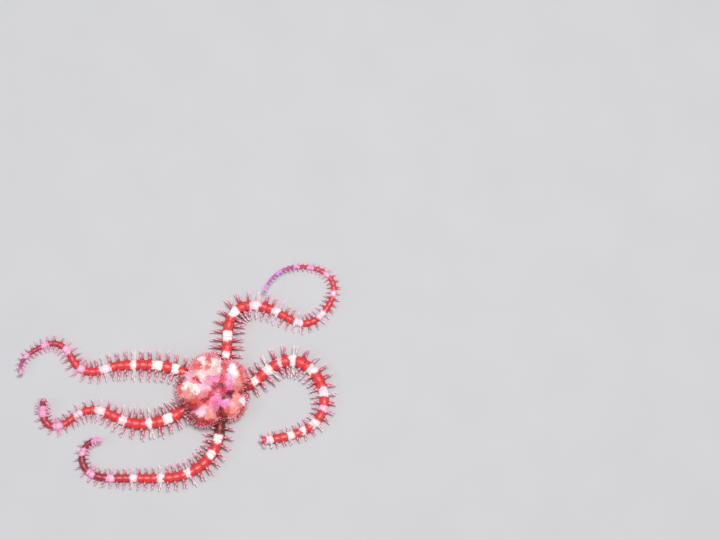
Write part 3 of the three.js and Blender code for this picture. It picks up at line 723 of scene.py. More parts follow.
def disc_colour(points):
    """The disc's colour: pink, with soft-edged blotches whose edges wander, red painted shade in the furrows
    over the arms, a red margin and a pale underside. A blotch's strength falls with the distance from the
    line between its two places."""
    place = points[..., :2]
    for length, strength, seeds in BLOTCH_WANDER:
        place = place + strength * np.stack([ripple(points, length, seed) for seed in seeds], -1)
    colour = blend(PINK, CORAL, 0.45 + 0.2 * ripple(points, *DISC_MOTTLE))
    for x, y, to_x, to_y, radius, strength, shade in BLOTCHES:
        way = np.array([to_x - x, to_y - y])
        off = place - np.array([x, y])
        share = np.clip(off @ way / (way @ way), 0, 1)
        off = np.linalg.norm(off - share[..., None] * way, axis=-1)
        colour = blend(colour, shade, strength * smooth(*(radius * BLOTCH_EDGE), off))
    degrees, distance = around_disc(points[..., 0], points[..., 1])
    # Red painted shade in the furrow over each arm, growing outwards
    furrow = bell(off_furrow(degrees), FURROW_SHADE_DEG)
    furrow = furrow * smooth(*FURROW_SHADE_REACHES, distance / lobe_radius(degrees))
    return painted(
        colour,
        (SCARLET, 0.25 * furrow),
        (SCARLET, 0.5 * smooth(*RED_MARGIN_LEVELS, points[..., 2])),
        (BELLY, 0.8 * smooth(*BELLY_LEVELS, points[..., 2])),
    )


# Meshes

def closed_rings(rings, first, last):
    """A closed skin over rings of points, with a fan to a point at each end. It holds the points, the
    four-sided and three-sided faces, and for each face corner its shares of the way round and along."""
    count, sides, _ = rings.shape
    points = np.vstack([np.reshape(first, (1, 3)), rings.reshape(-1, 3), np.reshape(last, (1, 3))])
    ring, side = np.meshgrid(np.arange(count - 1), np.arange(sides), indexing="ij")
    ring, side = ring.reshape(-1, 1), side.reshape(-1, 1)
    ring = ring + np.array([0, 1, 1, 0])
    side = side + np.array([0, 0, 1, 1])
    quads = 1 + ring * sides + side % sides
    quad_uv = np.stack([side / sides, (ring + 1) / (count + 1)], -1)
    here = np.arange(sides)
    after = (here + 1) % sides
    low = np.stack([0 * here, 1 + here, 1 + after], -1)
    high = 1 + (count - 1) * sides + np.stack([here, 0 * here + sides, after], -1)
    across = np.stack([here + 0.5, here, here + 1], -1) / sides
    low_uv = np.stack([across, np.broadcast_to([0, 1 / (count + 1), 1 / (count + 1)], across.shape)], -1)
    across = np.stack([here, here + 0.5, here + 1], -1) / sides
    along = np.broadcast_to([count / (count + 1), 1, count / (count + 1)], across.shape)
    high_uv = np.stack([across, along], -1)
    form = {
        "points": points,
        "quads": quads,
        "tris": np.vstack([low, high]),
        "quad_uv": quad_uv,
        "tri_uv": np.vstack([low_uv, high_uv]),
    }
    return facing_out(form)


def facing_out(form):
    """The form with its faces turned round if the volume they enclose comes out negative."""
    quads = form["quads"]
    triangles = np.vstack([form["tris"], quads[:, [0, 1, 2]], quads[:, [0, 2, 3]]])
    a, b, c = (form["points"][triangles[:, i]] for i in range(3))
    if np.einsum("ij,ij->", a, np.cross(b, c)) < 0:
        for key in ("quads", "tris", "quad_uv", "tri_uv"):
            form[key] = form[key][:, ::-1]
    return form


def turned(heights, radii, sides, ridge=0.0):
    """A form turned about the upright: rings of the radii at the heights, with a point at each end of the
    list, and every other side raised by a share."""
    turn = 2 * np.pi * np.arange(sides) / sides
    swell = 1 + ridge * np.cos(np.pi * np.arange(sides))
    radius = np.array(radii[1:-1])[:, None] * swell
    level = np.broadcast_to(np.array(heights[1:-1])[:, None], radius.shape)
    rings = np.stack([radius * np.cos(turn), radius * np.sin(turn), level], -1)
    return closed_rings(rings, (0, 0, heights[0]), (0, 0, heights[-1]))


SPINE_FORM = turned(
    [0, 0, 0.2, 0.42, 0.64, 0.83, 0.94, 0.985, 1], [0, 1, 1, 0.97, 0.92, 0.85, 0.74, 0.45, 0], 8, 0.07
)
SPINELET_FORM = turned([0, 0, 0.35, 0.7, 0.92, 1], [0, 1, 0.95, 0.8, 0.5, 0], 6)
GRANULE_FORM = turned([-0.9, -0.7, 0.1, 0.7, 1], [0, 0.75, 1, 0.7, 0], 6)
PLATE_FORM = turned([-1, -0.8, 0, 0.5, 0.82, 0.97, 1], [0, 1, 1, 0.93, 0.72, 0.4, 0], 14)


def copies(form, points, colours, spots, patch=PATCH):
    """Many placed copies of one form as one form: points and colours come worked out for each copy, and
    each copy's faces share a small patch of the unwrap round its root's spot."""
    count, size, _ = points.shape
    start = size * np.arange(count)[:, None, None]
    spots = spots[:, None, None, :]
    return {
        "points": points.reshape(-1, 3),
        "quads": (form["quads"] + start).reshape(-1, 4),
        "tris": (form["tris"] + start).reshape(-1, 3),
        "quad_uv": (spots + patch * (form["quad_uv"] - 0.5)).reshape(-1, 4, 2),
        "tri_uv": (spots + patch * (form["tri_uv"] - 0.5)).reshape(-1, 3, 2),
        "colours": np.broadcast_to(colours, points.shape).reshape(-1, 3),
    }


def joined(forms):
    """Several forms as one."""
    starts = np.cumsum([0] + [len(form["points"]) for form in forms[:-1]])
    keys = ("points", "quad_uv", "tri_uv", "colours")
    whole = {key: np.vstack([form[key] for form in forms]) for key in keys}
    for key in ("quads", "tris"):
        whole[key] = np.vstack([form[key] + start for form, start in zip(forms, starts)])
    return whole


def add_object(name, data):
    """Puts a mesh, a lamp or a camera into the scene."""
    thing = bpy.data.objects.new(name, data)
    bpy.context.scene.collection.objects.link(thing)
    return thing


def add_piece(name, form, material, nodes=()):
    """Makes a form into an object of the model, with its colours and its unwrap, moved to the frame."""
    points = (form["points"] + np.array([MOUTH_X, MOUTH_Y, 0])) / 1000
    mesh = bpy.data.meshes.new(name)
    mesh.from_pydata(points.tolist(), [], form["quads"].tolist() + form["tris"].tolist())
    mesh.shade_smooth()
    tint = mesh.color_attributes.new(name="Tint", type="FLOAT_COLOR", domain="POINT")
    colours = np.column_stack([np.clip(form["colours"], 0, 1), np.ones(len(points))])
    tint.data.foreach_set("color", colours.astype(np.float32).ravel())
    unwrap = mesh.uv_layers.new(name="OFBake")
    corners = np.vstack([form["quad_uv"].reshape(-1, 2), form["tri_uv"].reshape(-1, 2)])
    unwrap.uv.foreach_set("vector", corners.astype(np.float32).ravel())
    mesh.materials.append(material)
    piece = add_object(name, mesh)
    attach(piece, "root")
    if nodes:
        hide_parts(*nodes)


def arm_spot(number, s, angle):
    """Where a place on an arm lies on the unwrap: each arm is an upright strip, as wide as it goes round."""
    arm = ARMS[number]
    s, angle = np.broadcast_arrays(s, angle)
    across = STRIP_START + STRIP_STEP * number + STRIP_WIDTH * (angle / (2 * np.pi) + 0.5)
    return np.stack([across, STRIP_END + STRIP_LENGTH * (s + 1) / (arm["length"] + 2)], -1)


def disc_spot(share, degrees, below=None):
    """Where a place on the disc lies on the unwrap: two rounds, the top above and the underside below."""
    share, degrees = np.broadcast_arrays(share, degrees)
    below = share < MARGIN_SHARE if below is None else below
    reach = ROUND_RADIUS * np.where(below, share / MARGIN_SHARE, (1 - share) / (1 - MARGIN_SHARE))
    middle = np.stack([ROUND_ACROSS + 0 * reach, np.where(below, UNDER_ROUND, TOP_ROUND)], -1)
    return middle + reach[..., None] * toward(np.radians(degrees))[..., :2]


# The skin

def arm_skin_form(number):
    """One arm's skin: rings all along it, closer at the joints, and angles all round."""
    arm = ARMS[number]
    start, pitch = segments(arm)
    s = np.append(start + RING_PLACES * pitch, arm["length"])
    angle = np.linspace(-np.pi, np.pi, ARM_SIDES, endpoint=False)
    rings = arm_skin(arm, s[:, None], angle)
    colours = arm_colour(arm, s[:, None], angle, rings)
    place, ahead, _, up = stand(arm, np.array([0, arm["length"]]))
    width = width_at(arm, np.array([0, arm["length"]]))
    ends = place + up * (END_LEVEL * ARM_HEIGHT_SHARE * width)[:, None]
    form = closed_rings(rings, ends[0], ends[1] + ahead[1] * TIP_POINT * width[1])
    form["colours"] = np.vstack([colours[0, :1], colours.reshape(-1, 3), colours[-1, :1]])
    for key in ("quad_uv", "tri_uv"):
        share = form[key]
        along = np.interp(share[..., 1] * (len(s) + 1) - 1, np.arange(len(s)), s)
        form[key] = arm_spot(number, along, (share[..., 0] * 2 - 1) * np.pi)
    return form


def disc_skin_form():
    """The disc's skin: rings from the middle of the underside to the middle of the top. It carries painted
    shade between the granules on it, least where it is pale."""
    share = np.arange(1, DISC_RINGS) / DISC_RINGS
    degrees = 360 * np.arange(DISC_SECTORS) / DISC_SECTORS
    rings = disc_skin(share[:, None], degrees)
    ends = disc_skin(np.array([0.0, 1.0]), np.array([0.0, 0.0]))
    form = closed_rings(rings, ends[0], ends[1])
    colours = disc_colour(form["points"])
    # Painted shade on the skin between the granules, less where the skin is pale
    form["colours"] = colours * (SHADE_BETWEEN_GRANULES + SHADE_LIFT_WHERE_PALE * colours.mean(-1, keepdims=True))
    for key in ("quad_uv", "tri_uv"):
        along = form[key][..., 1]
        below = np.broadcast_to(along.mean(-1, keepdims=True) < MARGIN_SHARE, along.shape)
        form[key] = disc_spot(along, form[key][..., 0] * 360, below)
    return form


# Spines

def inside_disc(points):
    """Whether points lie in the disc's body."""
    degrees, distance = around_disc(points[..., 0], points[..., 1])
    level = (points[..., 2] > UNDERSIDE_LEVEL) & (points[..., 2] < DISC_HEIGHT)
    return level & (distance < lobe_radius(degrees) + DISC_CLEARANCE)


def spine_places(arm, draw):
    """One line for each spine: distance, side, elevation, angle round the section, length, width and lean.
    The rows stand a little ahead and behind by turns."""
    lines = []
    for near, far in zip(arm["joints"][:-1], arm["joints"][1:]):
        s = near + SPINE_PLACE * (far - near)
        width = width_at(arm, s)
        rows = next(rows for least_width, rows in SPINE_ROWS if width > least_width)
        for side in (-1, 1):
            for row, (elevation, angle, share) in enumerate(rows):
                stagger = SPINE_STAGGER * (-1) ** row
                lines.append((
                    s + (stagger + draw.normal(0, SPINE_PLACE_VARY)) * (far - near),
                    side,
                    elevation + draw.normal(0, SPINE_RISE_VARY_DEG),
                    side * (angle + draw.normal(0, SPINE_PLACE_VARY)),
                    read(arm["spines"], s) * share * draw.uniform(*SPINE_LONG_VARY),
                    max(SPINE_LEAST_WIDE, SPINE_WIDE_SHARE * width) * draw.uniform(*SPINE_WIDE_VARY),
                    SPINE_LEAN_DEG + STAGGER_LEAN_DEG * stagger + draw.normal(0, SPINE_LEAN_VARY_DEG),
                ))
    return np.array(lines)


def spine_form(number, draw):
    """An arm's spines: blunt ridged rods, a little flattened, that stand out from the sides of each segment
    like a fan and lean to the arm's tip. They bow upwards and sway sideways by the square of the way along
    them, and sway most by the arm's end."""
    arm = ARMS[number]
    s, side, elevation, angle, length, wide, lean = spine_places(arm, draw).T
    _, ahead, left, up = stand(arm, s)
    lift = np.radians(elevation)[:, None]
    lean = np.radians(lean)[:, None]
    out = left * side[:, None] * np.cos(lift) * np.cos(lean) + up * np.sin(lift) * np.cos(lean)
    out = out + ahead * np.sin(lean)
    skin = arm_skin(arm, s, angle)
    tip = skin + out * length[:, None]
    tip[:, 2] = np.maximum(tip[:, 2], SPINE_FLOOR + wide / 3)
    keep = ~(inside_disc(tip) | inside_disc((skin + tip) / 2))
    s, angle, wide, skin, tip = (each[keep] for each in (s, angle, wide, skin, tip))
    out = unit(tip - skin)
    root = skin - out * SPINE_ROOT
    across = unit(np.cross(out, UP))
    upward = np.cross(across, out)
    full = np.linalg.norm(tip - root, axis=1)[:, None, None]
    half = (wide / 2)[:, None, None]
    shape = SPINE_FORM["points"]
    height = shape[:, 2:]
    bow = SPINE_BOW * full * draw.uniform(-0.3, 1, (len(s), 1, 1)) * height * (height - 0.3)
    points = root[:, None] + out[:, None] * full * height + across[:, None] * half * shape[:, :1]
    points = points + upward[:, None] * (SPINE_FLATNESS * half * shape[:, 1:2] + bow)
    amount = SPINE_LEAST_SWAY + SPINE_SWAY * smooth(0.5, 0.9, s / arm["length"])
    sway = (draw.normal(0, 1, len(s)) * amount)[:, None, None] * full * height * (height - 0.2)
    points = points + across[:, None] * sway
    return copies(SPINE_FORM, points, spine_colours(arm, s, angle, skin, draw), arm_spot(number, s, angle))


def spine_colours(arm, s, angle, skin, draw):
    """A spine starts in the skin's colour, turns a dusky rose along its free part, more lilac by the arm's
    end, and is palest at the tip. Where a band reaches it, it takes the band's colour nearly all along."""
    # The root takes the arm's colour on its flank, together with the flank's painted shade
    root = arm_colour(arm, s, np.clip(np.abs(angle), *SPINE_FLANK), skin)
    weight, shade = band_weight(arm, s, np.pi)
    rose = painted(
        SPINE_ROSE,
        (root, draw.uniform(0, 0.3, len(s))),
        (SPINE_TIP, draw.uniform(0, 0.35, len(s))),
        (SPINE_LILAC, 0.55 * smooth(0.5, 0.95, s / arm["length"])),
        (shade, 0.95 * weight),
    )
    tip = blend(SPINE_TIP, shade, 0.8 * weight)
    height = SPINE_FORM["points"][:, 2]
    return painted(
        root[:, None],
        (rose[:, None], smooth(*SPINE_FREE, height)),
        (tip[:, None], smooth(*SPINE_END, height)),
    )


# Plates and granules of the arms

def arm_plates(number, kind, side=1):
    """A plate of a kind on each segment: a low dome that follows the skin."""
    arm = ARMS[number]
    angle, half_length, half_angle, height, pale, seed = kind
    start, pitch = segments(arm)
    s = start + PLATE_PLACE * pitch
    shape = PLATE_FORM["points"]
    vary = np.random.default_rng(seed + number).uniform(*PLATE_VARY, s.shape)
    along = s + shape[:, 0] * half_length * pitch
    around = side * angle + shape[:, 1] * half_angle * vary
    points = arm_skin(arm, along, around, np.clip((along - start) / pitch, *PLATE_ENDS))
    lift = height * width_at(arm, s) / FULL_WIDTH * shape[:, 2]
    points = points + arm_out(arm, along, around) * lift[..., None]
    colours = blend(arm_colour(arm, along, around, points), np.ones(3), pale)
    return copies(PLATE_FORM, points, colours, arm_spot(number, s[:, 0], side * angle), PLATE_PATCH)


def ball_points(form, place, out, size):
    """Copies of a form that stand along a way out of the skin, turned any way round it."""
    across = unit(np.cross(out, unit(out[:, [1, 2, 0]] + ASKEW)))
    other = np.cross(out, across)
    shape = form["points"]
    size = size[..., None] if size.ndim == 1 else size
    scaled = shape[None] * size[:, None, :]
    return (place[:, None] + across[:, None] * scaled[..., :1] + other[:, None] * scaled[..., 1:2]
            + out[:, None] * scaled[..., 2:])


def arm_granules(number):
    """Granules in an oval ring round the plate on the crest of each segment."""
    arm = ARMS[number]
    draw = np.random.default_rng(RING_SEED + number)
    start, pitch = segments(arm)
    turn = 2 * np.pi * np.arange(RING_COUNT) / RING_COUNT + draw.normal(0, 0.06, (len(start), RING_COUNT))
    s = start + PLATE_PLACE * pitch + 0.5 * pitch * np.cos(turn) * RING_LENGTH
    angle = RING_ANGLE * np.sin(turn) + draw.normal(0, 0.02, turn.shape)
    s, angle = np.clip(s, 0, arm["length"] - RING_GRANULE_RADIUS).ravel(), angle.ravel()
    size = RING_GRANULE_RADIUS * width_at(arm, s) / FULL_WIDTH * draw.uniform(*RING_SIZE_VARY, s.shape)
    place = arm_skin(arm, s, angle)
    points = ball_points(GRANULE_FORM, place, arm_out(arm, s, angle), size)
    colours = blend(arm_colour(arm, s, angle, place), SPINE_TIP, draw.uniform(0, 0.2, s.shape))
    return copies(GRANULE_FORM, points, colours[:, None], arm_spot(number, s, angle))


# Plates, granules and spinelets of the disc

def plate_line(middle, radius, turn, sizes, degrees):
    """x, y, half length, half width and angle of a plate that stands at a radius from a middle."""
    return (*middle + radius * toward(turn)[:2], *sizes, degrees)


def disc_plate_list():
    """A line for each plate on top: a rosette round the middle, a pair of long shields beside each arm, and
    rounded plates down each lobe."""
    centre = np.array([DISC_CENTRE_X, 0])
    plates = [(*ROSETTE, *CENTRAL_PLATE, 0)]
    for lobe in DISC_FIRST_LOBE_DEG + ARM_STEP_DEG * np.arange(LOBES):
        turn = np.radians(lobe)
        plates.append(plate_line(ROSETTE, PRIMARY_RADIUS, turn, PRIMARY_PLATE, lobe))
        plates.append(plate_line(ROSETTE, BETWEEN_RADIUS, turn + BETWEEN_TURN, BETWEEN_PLATE, lobe))
        for radius, size in LOBE_PLATES:
            plates.append(plate_line(centre, radius, turn, (size, size * LOBE_PLATE_WIDER), lobe))
        furrow = lobe + ARM_STEP_DEG / 2
        for side in (-1, 1):
            turn = np.radians(furrow + SHIELD_OFF_DEG * side)
            degrees = furrow - SHIELD_SPREAD_DEG * side
            plates.append(plate_line(centre, SHIELD_RADIUS, turn, SHIELD_PLATE, degrees))
            turn = np.radians(lobe + SIDE_OFF_DEG * side)
            plates.append(plate_line(centre, SIDE_RADIUS, turn, SIDE_PLATE, lobe))
    return np.array(plates)


def disc_plates():
    """The plates on top of the disc: low domes that follow its skin, with its colours drawn a little to the
    one at each plate's middle."""
    x, y, long, wide, degrees = disc_plate_list().T[..., None]
    shape = PLATE_FORM["points"]
    off_x, off_y = rotated(shape[:, 0] * long, shape[:, 1] * wide, degrees)
    share, around = on_top(x + off_x, y + off_y)
    points = disc_skin(share, around)
    points = points + disc_out(share, around) * (PLATE_RAISE * np.sqrt(wide) * shape[:, 2])[..., None]
    share, around = on_top(x[:, 0], y[:, 0])
    colours = blend(disc_colour(points), disc_colour(disc_skin(share, around))[:, None], 0.3)
    return copies(PLATE_FORM, points, colours, disc_spot(share, around), PLATE_PATCH)


def disc_granule_places(draw):
    """Shares, angles and places of the granules: rings a pitch apart from the underside to the top, each
    filled evenly from a random start, without those that fall on a plate."""
    shares = np.linspace(*GRANULE_SHARES, 400)
    line = disc_skin(shares, np.full(len(shares), DISC_FIRST_LOBE_DEG, float))
    travelled = np.append(0, np.cumsum(np.linalg.norm(np.diff(line, axis=0), axis=1)))
    spots = []
    for share in np.interp(np.arange(0, travelled[-1], GRANULE_PITCH), travelled, shares):
        ring = 2 * np.pi * meridian(np.array(share))[0] * GRANULE_RING_RADIUS
        count = max(3, int(ring / GRANULE_PITCH))
        around = 360 * (np.arange(count) + draw.uniform(0, 1) + draw.normal(0, 0.13, count)) / count
        spots.append(np.stack([share + draw.normal(0, 0.003, count), around], -1))
    share, around = np.vstack(spots).T
    place = disc_skin(share, around)
    bare = np.ones(len(share), bool)
    for x, y, long, wide, degrees in disc_plate_list():
        along, aside = rotated(place[:, 0] - x, place[:, 1] - y, -degrees)
        bare &= (along / (long + GRANULE_GAP)) ** 2 + (aside / (wide + GRANULE_GAP)) ** 2 > 1
    return share[bare], around[bare], place[bare]


def disc_granules():
    """Granules all over the disc between its plates, each a little darker or paler than the colour there.
    Pale ones vary less."""
    draw = np.random.default_rng(GRANULE_SEED)
    share, around, place = disc_granule_places(draw)
    size = GRANULE_RADIUS * draw.uniform(*GRANULE_SIZE_VARY, len(share))
    out = disc_out(share, around)
    points = ball_points(GRANULE_FORM, place, out, size)
    colours = disc_colour(place)
    vary = draw.uniform(*GRANULE_TONE_VARY, (len(share), 1))
    vary = vary * (1 - GRANULE_PALE_STEADY * colours.mean(-1, keepdims=True))
    colours = colours * (1 + vary)
    return copies(GRANULE_FORM, points, colours[:, None], disc_spot(share, around))


def off_arms(degrees):
    """Whether a direction is clear of every arm."""
    clear = np.ones(np.shape(degrees), bool)
    for arm in ARMS:
        clear &= np.cos(np.radians(degrees - arm["theta"])) < np.cos(np.radians(CLEAR_OF_ARM_DEG))
    return clear


def spinelets():
    """Short blunt spines in four rows round the disc's margin. The lower two leave the arms free."""
    draw = np.random.default_rng(SPINELET_SEED)
    rows = []
    for share, count, long in SPINELET_ROWS:
        around = 360 * (np.arange(count) + draw.normal(0, 0.2, count)) / count
        shares = share + draw.normal(0, 0.008, count)
        row = np.stack([shares, around, long * draw.uniform(*SPINELET_LONG_VARY, count)], -1)
        rows.append(row[off_arms(around) | (share > TOP_SHARE)])
    share, around, long = np.vstack(rows).T
    place = disc_skin(share, around)
    out = unit(disc_out(share, around) + draw.normal(0, 0.12, place.shape))
    wide = np.full(len(share), SPINELET_RADIUS)
    size = np.stack([wide, wide, SPINELET_LENGTH * long + SPINELET_ROOT], -1)
    points = ball_points(SPINELET_FORM, place - SPINELET_ROOT * out, out, size)
    base = disc_colour(place)
    pale = blend(base, SPINE_TIP, draw.uniform(*SPINELET_PALE, len(share)) + 0.4 * base.mean(-1))
    colours = blend(base[:, None], pale[:, None], smooth(0.1, 0.6, SPINELET_FORM["points"][:, 2]))
    return copies(SPINELET_FORM, points, colours, disc_spot(share, around))


# The mouth

def jaw_form(low, high, number):
    """A jaw between the directions of two arms: a wedge with rounded edges and a blunt tip. Straight lines
    between five corners, smoothed, give its outline, and rings of it draw in to the underside and the top."""
    half = np.radians((high - low) / 2)
    reach = JAW_OUTER_RADIUS - JAW_BULGE
    x = reach * np.cos(half) + JAW_SLIT / 2 * np.sin(half)
    y = reach * np.sin(half) - JAW_SLIT / 2 * np.cos(half)
    tip = (JAW_TIP_RADIUS, -JAW_TIP_HALF)
    corners = np.array([tip, (x, -y), (JAW_OUTER_RADIUS, 0), (x, y), (JAW_TIP_RADIUS, JAW_TIP_HALF), tip])
    share = np.arange(JAW_SIDES) / JAW_SIDES * (len(corners) - 1)
    ring = np.stack([np.interp(share, np.arange(len(corners)), corners[:, i]) for i in (0, 1)], -1)
    ring = (ring + np.roll(ring, 1, axis=0) + np.roll(ring, -1, axis=0)) / 3
    middle = ring.mean(axis=0)
    rings = []
    for z, scale in JAW_RINGS:
        rings.append(np.column_stack([middle + (ring - middle) * scale, np.full(JAW_SIDES, z)]))
    ahead = toward(np.radians((high + low) / 2))
    ways = np.array([ahead, np.cross(UP, ahead), UP])
    ends = np.array([[*middle, JAW_UNDERSIDE], [*middle, JAW_HEIGHT - 0.02]]) @ ways
    form = closed_rings(np.array(rings) @ ways, ends[0], ends[1])
    form["colours"] = blend(BELLY, ROSE, 0.25 + 0.2 * smooth(0, 1.5, ripple(form["points"], 1, 9)))
    for key in ("quad_uv", "tri_uv"):
        form[key] = form[key] * JAW_PATCH + np.array([0.02 + JAW_PATCH_STEP * number, 0.05])
    return form


def jaws():
    """The five jaws."""
    thetas = sorted(arm["theta"] for arm in ARMS)
    ends = thetas[1:] + [thetas[0] + 360]
    return joined([jaw_form(low, high, i) for i, (low, high) in enumerate(zip(thetas, ends))])


def mouth_papillae():
    """Small blunt papillae along both flanks of each slit between the jaws, pointing into the mouth."""
    draw = np.random.default_rng(PAPILLA_SEED)
    lines = [(arm["theta"], side, reach) for arm in ARMS for side in (-1, 1) for reach in PAPILLA_REACHES]
    theta, side, reach = np.array(lines).T
    ahead = toward(np.radians(theta))
    left = np.cross(UP, ahead)
    aside = side * (PAPILLA_ASIDE + PAPILLA_SPLAY * reach)
    place = ahead * reach[:, None] + left * aside[:, None] + PAPILLA_LEVEL * UP
    out = unit(-PAPILLA_AIM * ahead - left * side[:, None] + draw.normal(0, 0.1, place.shape))
    long = PAPILLA_LENGTH * draw.uniform(0.85, 1.1, len(reach))
    wide = np.full(len(reach), PAPILLA_RADIUS)
    points = ball_points(SPINELET_FORM, place, out, np.stack([wide, wide, long], -1))
    colours = blend(BELLY, SPINE_TIP, draw.uniform(0, 0.7, len(reach)))[:, None]
    spots = np.stack([0.1 + 0.8 * (theta % 360) / 360 + 0.004 * side, 0.1 + 0.2 * reach], -1)
    return copies(SPINELET_FORM, points, colours, spots)


# Materials

GLOW_RADIUS = (1.0, 0.4, 0.3)
GLOW_REACH = 0.0007
COAT_ROUGHNESS = 0.2
FLOOR_COLOURS = ((0.56, 0.56, 0.57, 1), (0.60, 0.60, 0.61, 1))


def new_material(name):
    """An empty material and its shader."""
    material = bpy.data.materials.new(name)
    material.use_nodes = True
    return material, material.node_tree.nodes["Principled BSDF"]


def set_sockets(node, **values):
    """Sets a node's own sockets, whose names are given with _ for each space."""
    for name, value in values.items():
        node.inputs[name.replace("_", " ")].default_value = value


def add_node(material, kind, **values):
    """Adds a node to a material and sets its sockets."""
    node = material.node_tree.nodes.new(kind)
    set_sockets(node, **values)
    return node


def wire(material, *wires):
    """Joins nodes of a material. Each wire names a node, its outlet, the next node and its inlet."""
    for node, outlet, to_node, inlet in wires:
        material.node_tree.links.new(node.outputs[outlet], to_node.inputs[inlet])


def living_material(name, roughness, glow, grain, depth, coat):
    """Wet living tissue: the piece's own colours, broken up by a fine mottle, with light scattered under
    the surface, and a fine grain in the bump."""
    material, shader = new_material(name)
    tint = add_node(material, "ShaderNodeAttribute")
    tint.attribute_name = "Tint"
    place = add_node(material, "ShaderNodeTexCoord")
    mottle = add_node(material, "ShaderNodeTexNoise", Scale=grain * 0.45, Detail=4)
    spread = add_node(material, "ShaderNodeMapRange", From_Min=0.3, From_Max=0.7, To_Min=0.86, To_Max=1.1)
    vary = add_node(material, "ShaderNodeVectorMath")
    vary.operation = "SCALE"
    gloss = add_node(material, "ShaderNodeMapRange", To_Min=roughness - 0.08, To_Max=roughness + 0.12)
    pebble = add_node(material, "ShaderNodeTexVoronoi", Scale=grain)
    bump = add_node(material, "ShaderNodeBump", Strength=0.6, Distance=depth)
    bump.invert = True
    wire(
        material,
        (place, "Object", mottle, "Vector"),
        (place, "Object", pebble, "Vector"),
        (mottle, "Fac", spread, "Value"),
        (tint, "Color", vary, "Vector"),
        (spread, "Result", vary, "Scale"),
        (vary, "Vector", shader, "Base Color"),
        (mottle, "Fac", gloss, "Value"),
        (gloss, "Result", shader, "Roughness"),
        (pebble, "Distance", bump, "Height"),
        (bump, "Normal", shader, "Normal"),
    )
    set_sockets(shader, Subsurface_Weight=glow, Subsurface_Radius=GLOW_RADIUS, Subsurface_Scale=GLOW_REACH)
    set_sockets(shader, Coat_Weight=coat, Coat_Roughness=COAT_ROUGHNESS)
    return material


def wet_skin():
    """The soft skin of the disc and the arms."""
    return living_material("wet_skin", roughness=0.38, glow=0.12, grain=5200, depth=0.00006, coat=0.15)


def plate_shell():
    """The chalky plates, firmer than the skin."""
    return living_material("plate_shell", roughness=0.38, glow=0.1, grain=6500, depth=0.00004, coat=0.12)


def glassy_spine():
    """Spines and papillae, which let the most light through."""
    return living_material("glassy_spine", roughness=0.45, glow=0.2, grain=7000, depth=0.00003, coat=0.08)


def granule_bead():
    """The granules, which shine like wet beads."""
    return living_material("granule_bead", roughness=0.36, glow=0.15, grain=6000, depth=0.00003, coat=0.2)


def jaw_bone():
    """The pale jaws."""
    return living_material("jaw_bone", roughness=0.42, glow=0.12, grain=5200, depth=0.00005, coat=0.15)


def floor_material():
    """A matt pale floor with a very faint mottle."""
    material, shader = new_material("pale_floor")
    place = add_node(material, "ShaderNodeTexCoord")
    noise = add_node(material, "ShaderNodeTexNoise", Scale=60)
    ramp = add_node(material, "ShaderNodeValToRGB")
    for element, colour in zip(ramp.color_ramp.elements, FLOOR_COLOURS):
        element.color = colour
    wire(
        material,
        (place, "Object", noise, "Vector"),
        (noise, "Fac", ramp, "Fac"),
        (ramp, "Color", shader, "Base Color"),
    )
    set_sockets(shader, Roughness=0.9)
    return material


# The pieces

def make_star():
    """Every piece of the star, in the order from the skin outwards."""
    numbers = range(len(ARMS))
    for arm in ARMS:
        walk(arm)
        arm["joints"] = joints_of(arm)
    flesh, shell, glassy, bead, bone = wet_skin(), plate_shell(), glassy_spine(), granule_bead(), jaw_bone()
    draw = np.random.default_rng(SPINE_SEED)
    arm_nodes = [f"arm_{i + 1}_length_{k + 1}" for i in numbers for k in range(ARMS[i]["lengths"])]
    skin = joined([disc_skin_form()] + [arm_skin_form(i) for i in numbers])
    add_piece("skin", skin, flesh, ["disc"] + arm_nodes)
    crest = [arm_plates(i, CREST_PLATE) for i in numbers]
    add_piece("crest_plates", joined(crest), shell)
    sole = [arm_plates(i, SOLE_PLATE) for i in numbers]
    add_piece("sole_plates", joined(sole), shell)
    scales = [arm_plates(i, FOOT_SCALE, side) for i in numbers for side in (-1, 1)]
    add_piece("foot_scales", joined(scales), shell)
    add_piece("arm_granules", joined([arm_granules(i) for i in numbers]), bead)
    add_piece("arm_spines", joined([spine_form(i, draw) for i in numbers]), glassy)
    add_piece("disc_plates", disc_plates(), shell)
    add_piece("disc_granules", disc_granules(), bead)
    add_piece("margin_spinelets", spinelets(), glassy)
    add_piece("jaws", jaws(), bone, [f"jaw_{i + 1}" for i in numbers])
    add_piece("mouth_papillae", mouth_papillae(), glassy)


# The camera, the light and the floor

VIEW_ELEVATION_DEG = 78
LENS_MM = 135
SENSOR_MM = 36
PICTURE = (720, 540)
DISC_PIXEL = (214.0, 390.5)
PIXELS_A_MM = 3.6
MIDDLE_LEVEL = 2

# The lamps: name, place in metres, size, power and colour. Then half the floor's width and the room's light.
LAMPS = (
    ("main_light", (0.12, 0.07, 0.76), 0.24, 4.7, (1, 0.98, 0.95)),
    ("side_light", (-0.6, -0.1, 0.5), 0.5, 1, (0.93, 0.96, 1)),
)
FLOOR_REACH = 1.5
ROOM_COLOUR = (0.86, 0.9, 1, 1)
ROOM_STRENGTH = 0.36


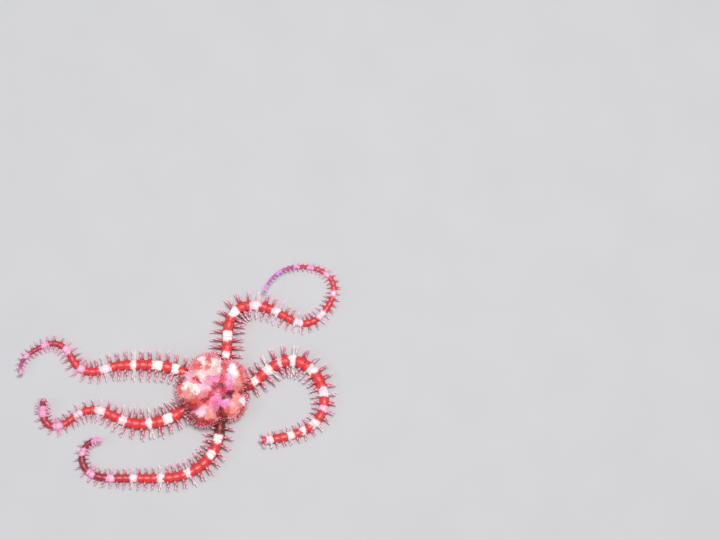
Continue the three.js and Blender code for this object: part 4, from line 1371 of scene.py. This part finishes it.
def add_camera():
    """A long lens that looks down at the floor at an angle, placed so that the disc's middle, a little above
    the floor, falls on its pixel, with so many pixels to a millimetre."""
    elevation = np.radians(VIEW_ELEVATION_DEG)
    focal = LENS_MM / SENSOR_MM * PICTURE[0]
    ahead = np.array([0, np.cos(elevation), -np.sin(elevation)])
    up = np.array([0, np.sin(elevation), np.cos(elevation)])
    aside = (DISC_PIXEL[0] - PICTURE[0] / 2) / focal
    below = (DISC_PIXEL[1] - PICTURE[1] / 2) / focal
    ray = ahead + aside * np.array([1, 0, 0]) - below * up
    place = np.array([MOUTH_X, MOUTH_Y, MIDDLE_LEVEL]) - focal / PIXELS_A_MM * ray
    lens = bpy.data.cameras.new("camera")
    lens.lens = LENS_MM
    lens.sensor_width = SENSOR_MM
    lens.clip_start = 0.01
    camera = add_object("camera", lens)
    camera.location = place / 1000
    camera.rotation_euler = (np.pi / 2 - elevation, 0, 0)
    bpy.context.scene.camera = camera


def add_lamp(name, place, size, power, colour):
    """A square soft light at a place in metres that looks at the origin."""
    lamp = bpy.data.lights.new(name, "AREA")
    lamp.size = size
    lamp.energy = power
    lamp.color = colour
    thing = add_object(name, lamp)
    thing.location = place
    away = np.array(place) / np.linalg.norm(place)
    thing.rotation_euler = (np.arccos(away[2]), 0, np.arctan2(away[1], away[0]) + np.pi / 2)


def add_stage():
    """The floor, the lamps and a pale room."""
    corners = [(x * FLOOR_REACH, y * FLOOR_REACH, 0) for x, y in ((-1, -1), (1, -1), (1, 1), (-1, 1))]
    mesh = bpy.data.meshes.new("floor")
    mesh.from_pydata(corners, [], [(0, 1, 2, 3)])
    mesh.materials.append(floor_material())
    floor = add_object("floor", mesh)
    for lamp in LAMPS:
        add_lamp(*lamp)
    world = bpy.data.worlds.new("pale_room")
    world.use_nodes = True
    set_sockets(world.node_tree.nodes["Background"], Color=ROOM_COLOUR, Strength=ROOM_STRENGTH)
    bpy.context.scene.world = world
    bpy.context.scene.view_settings.view_transform = "Standard"


add_camera()
make_star()
add_stage()
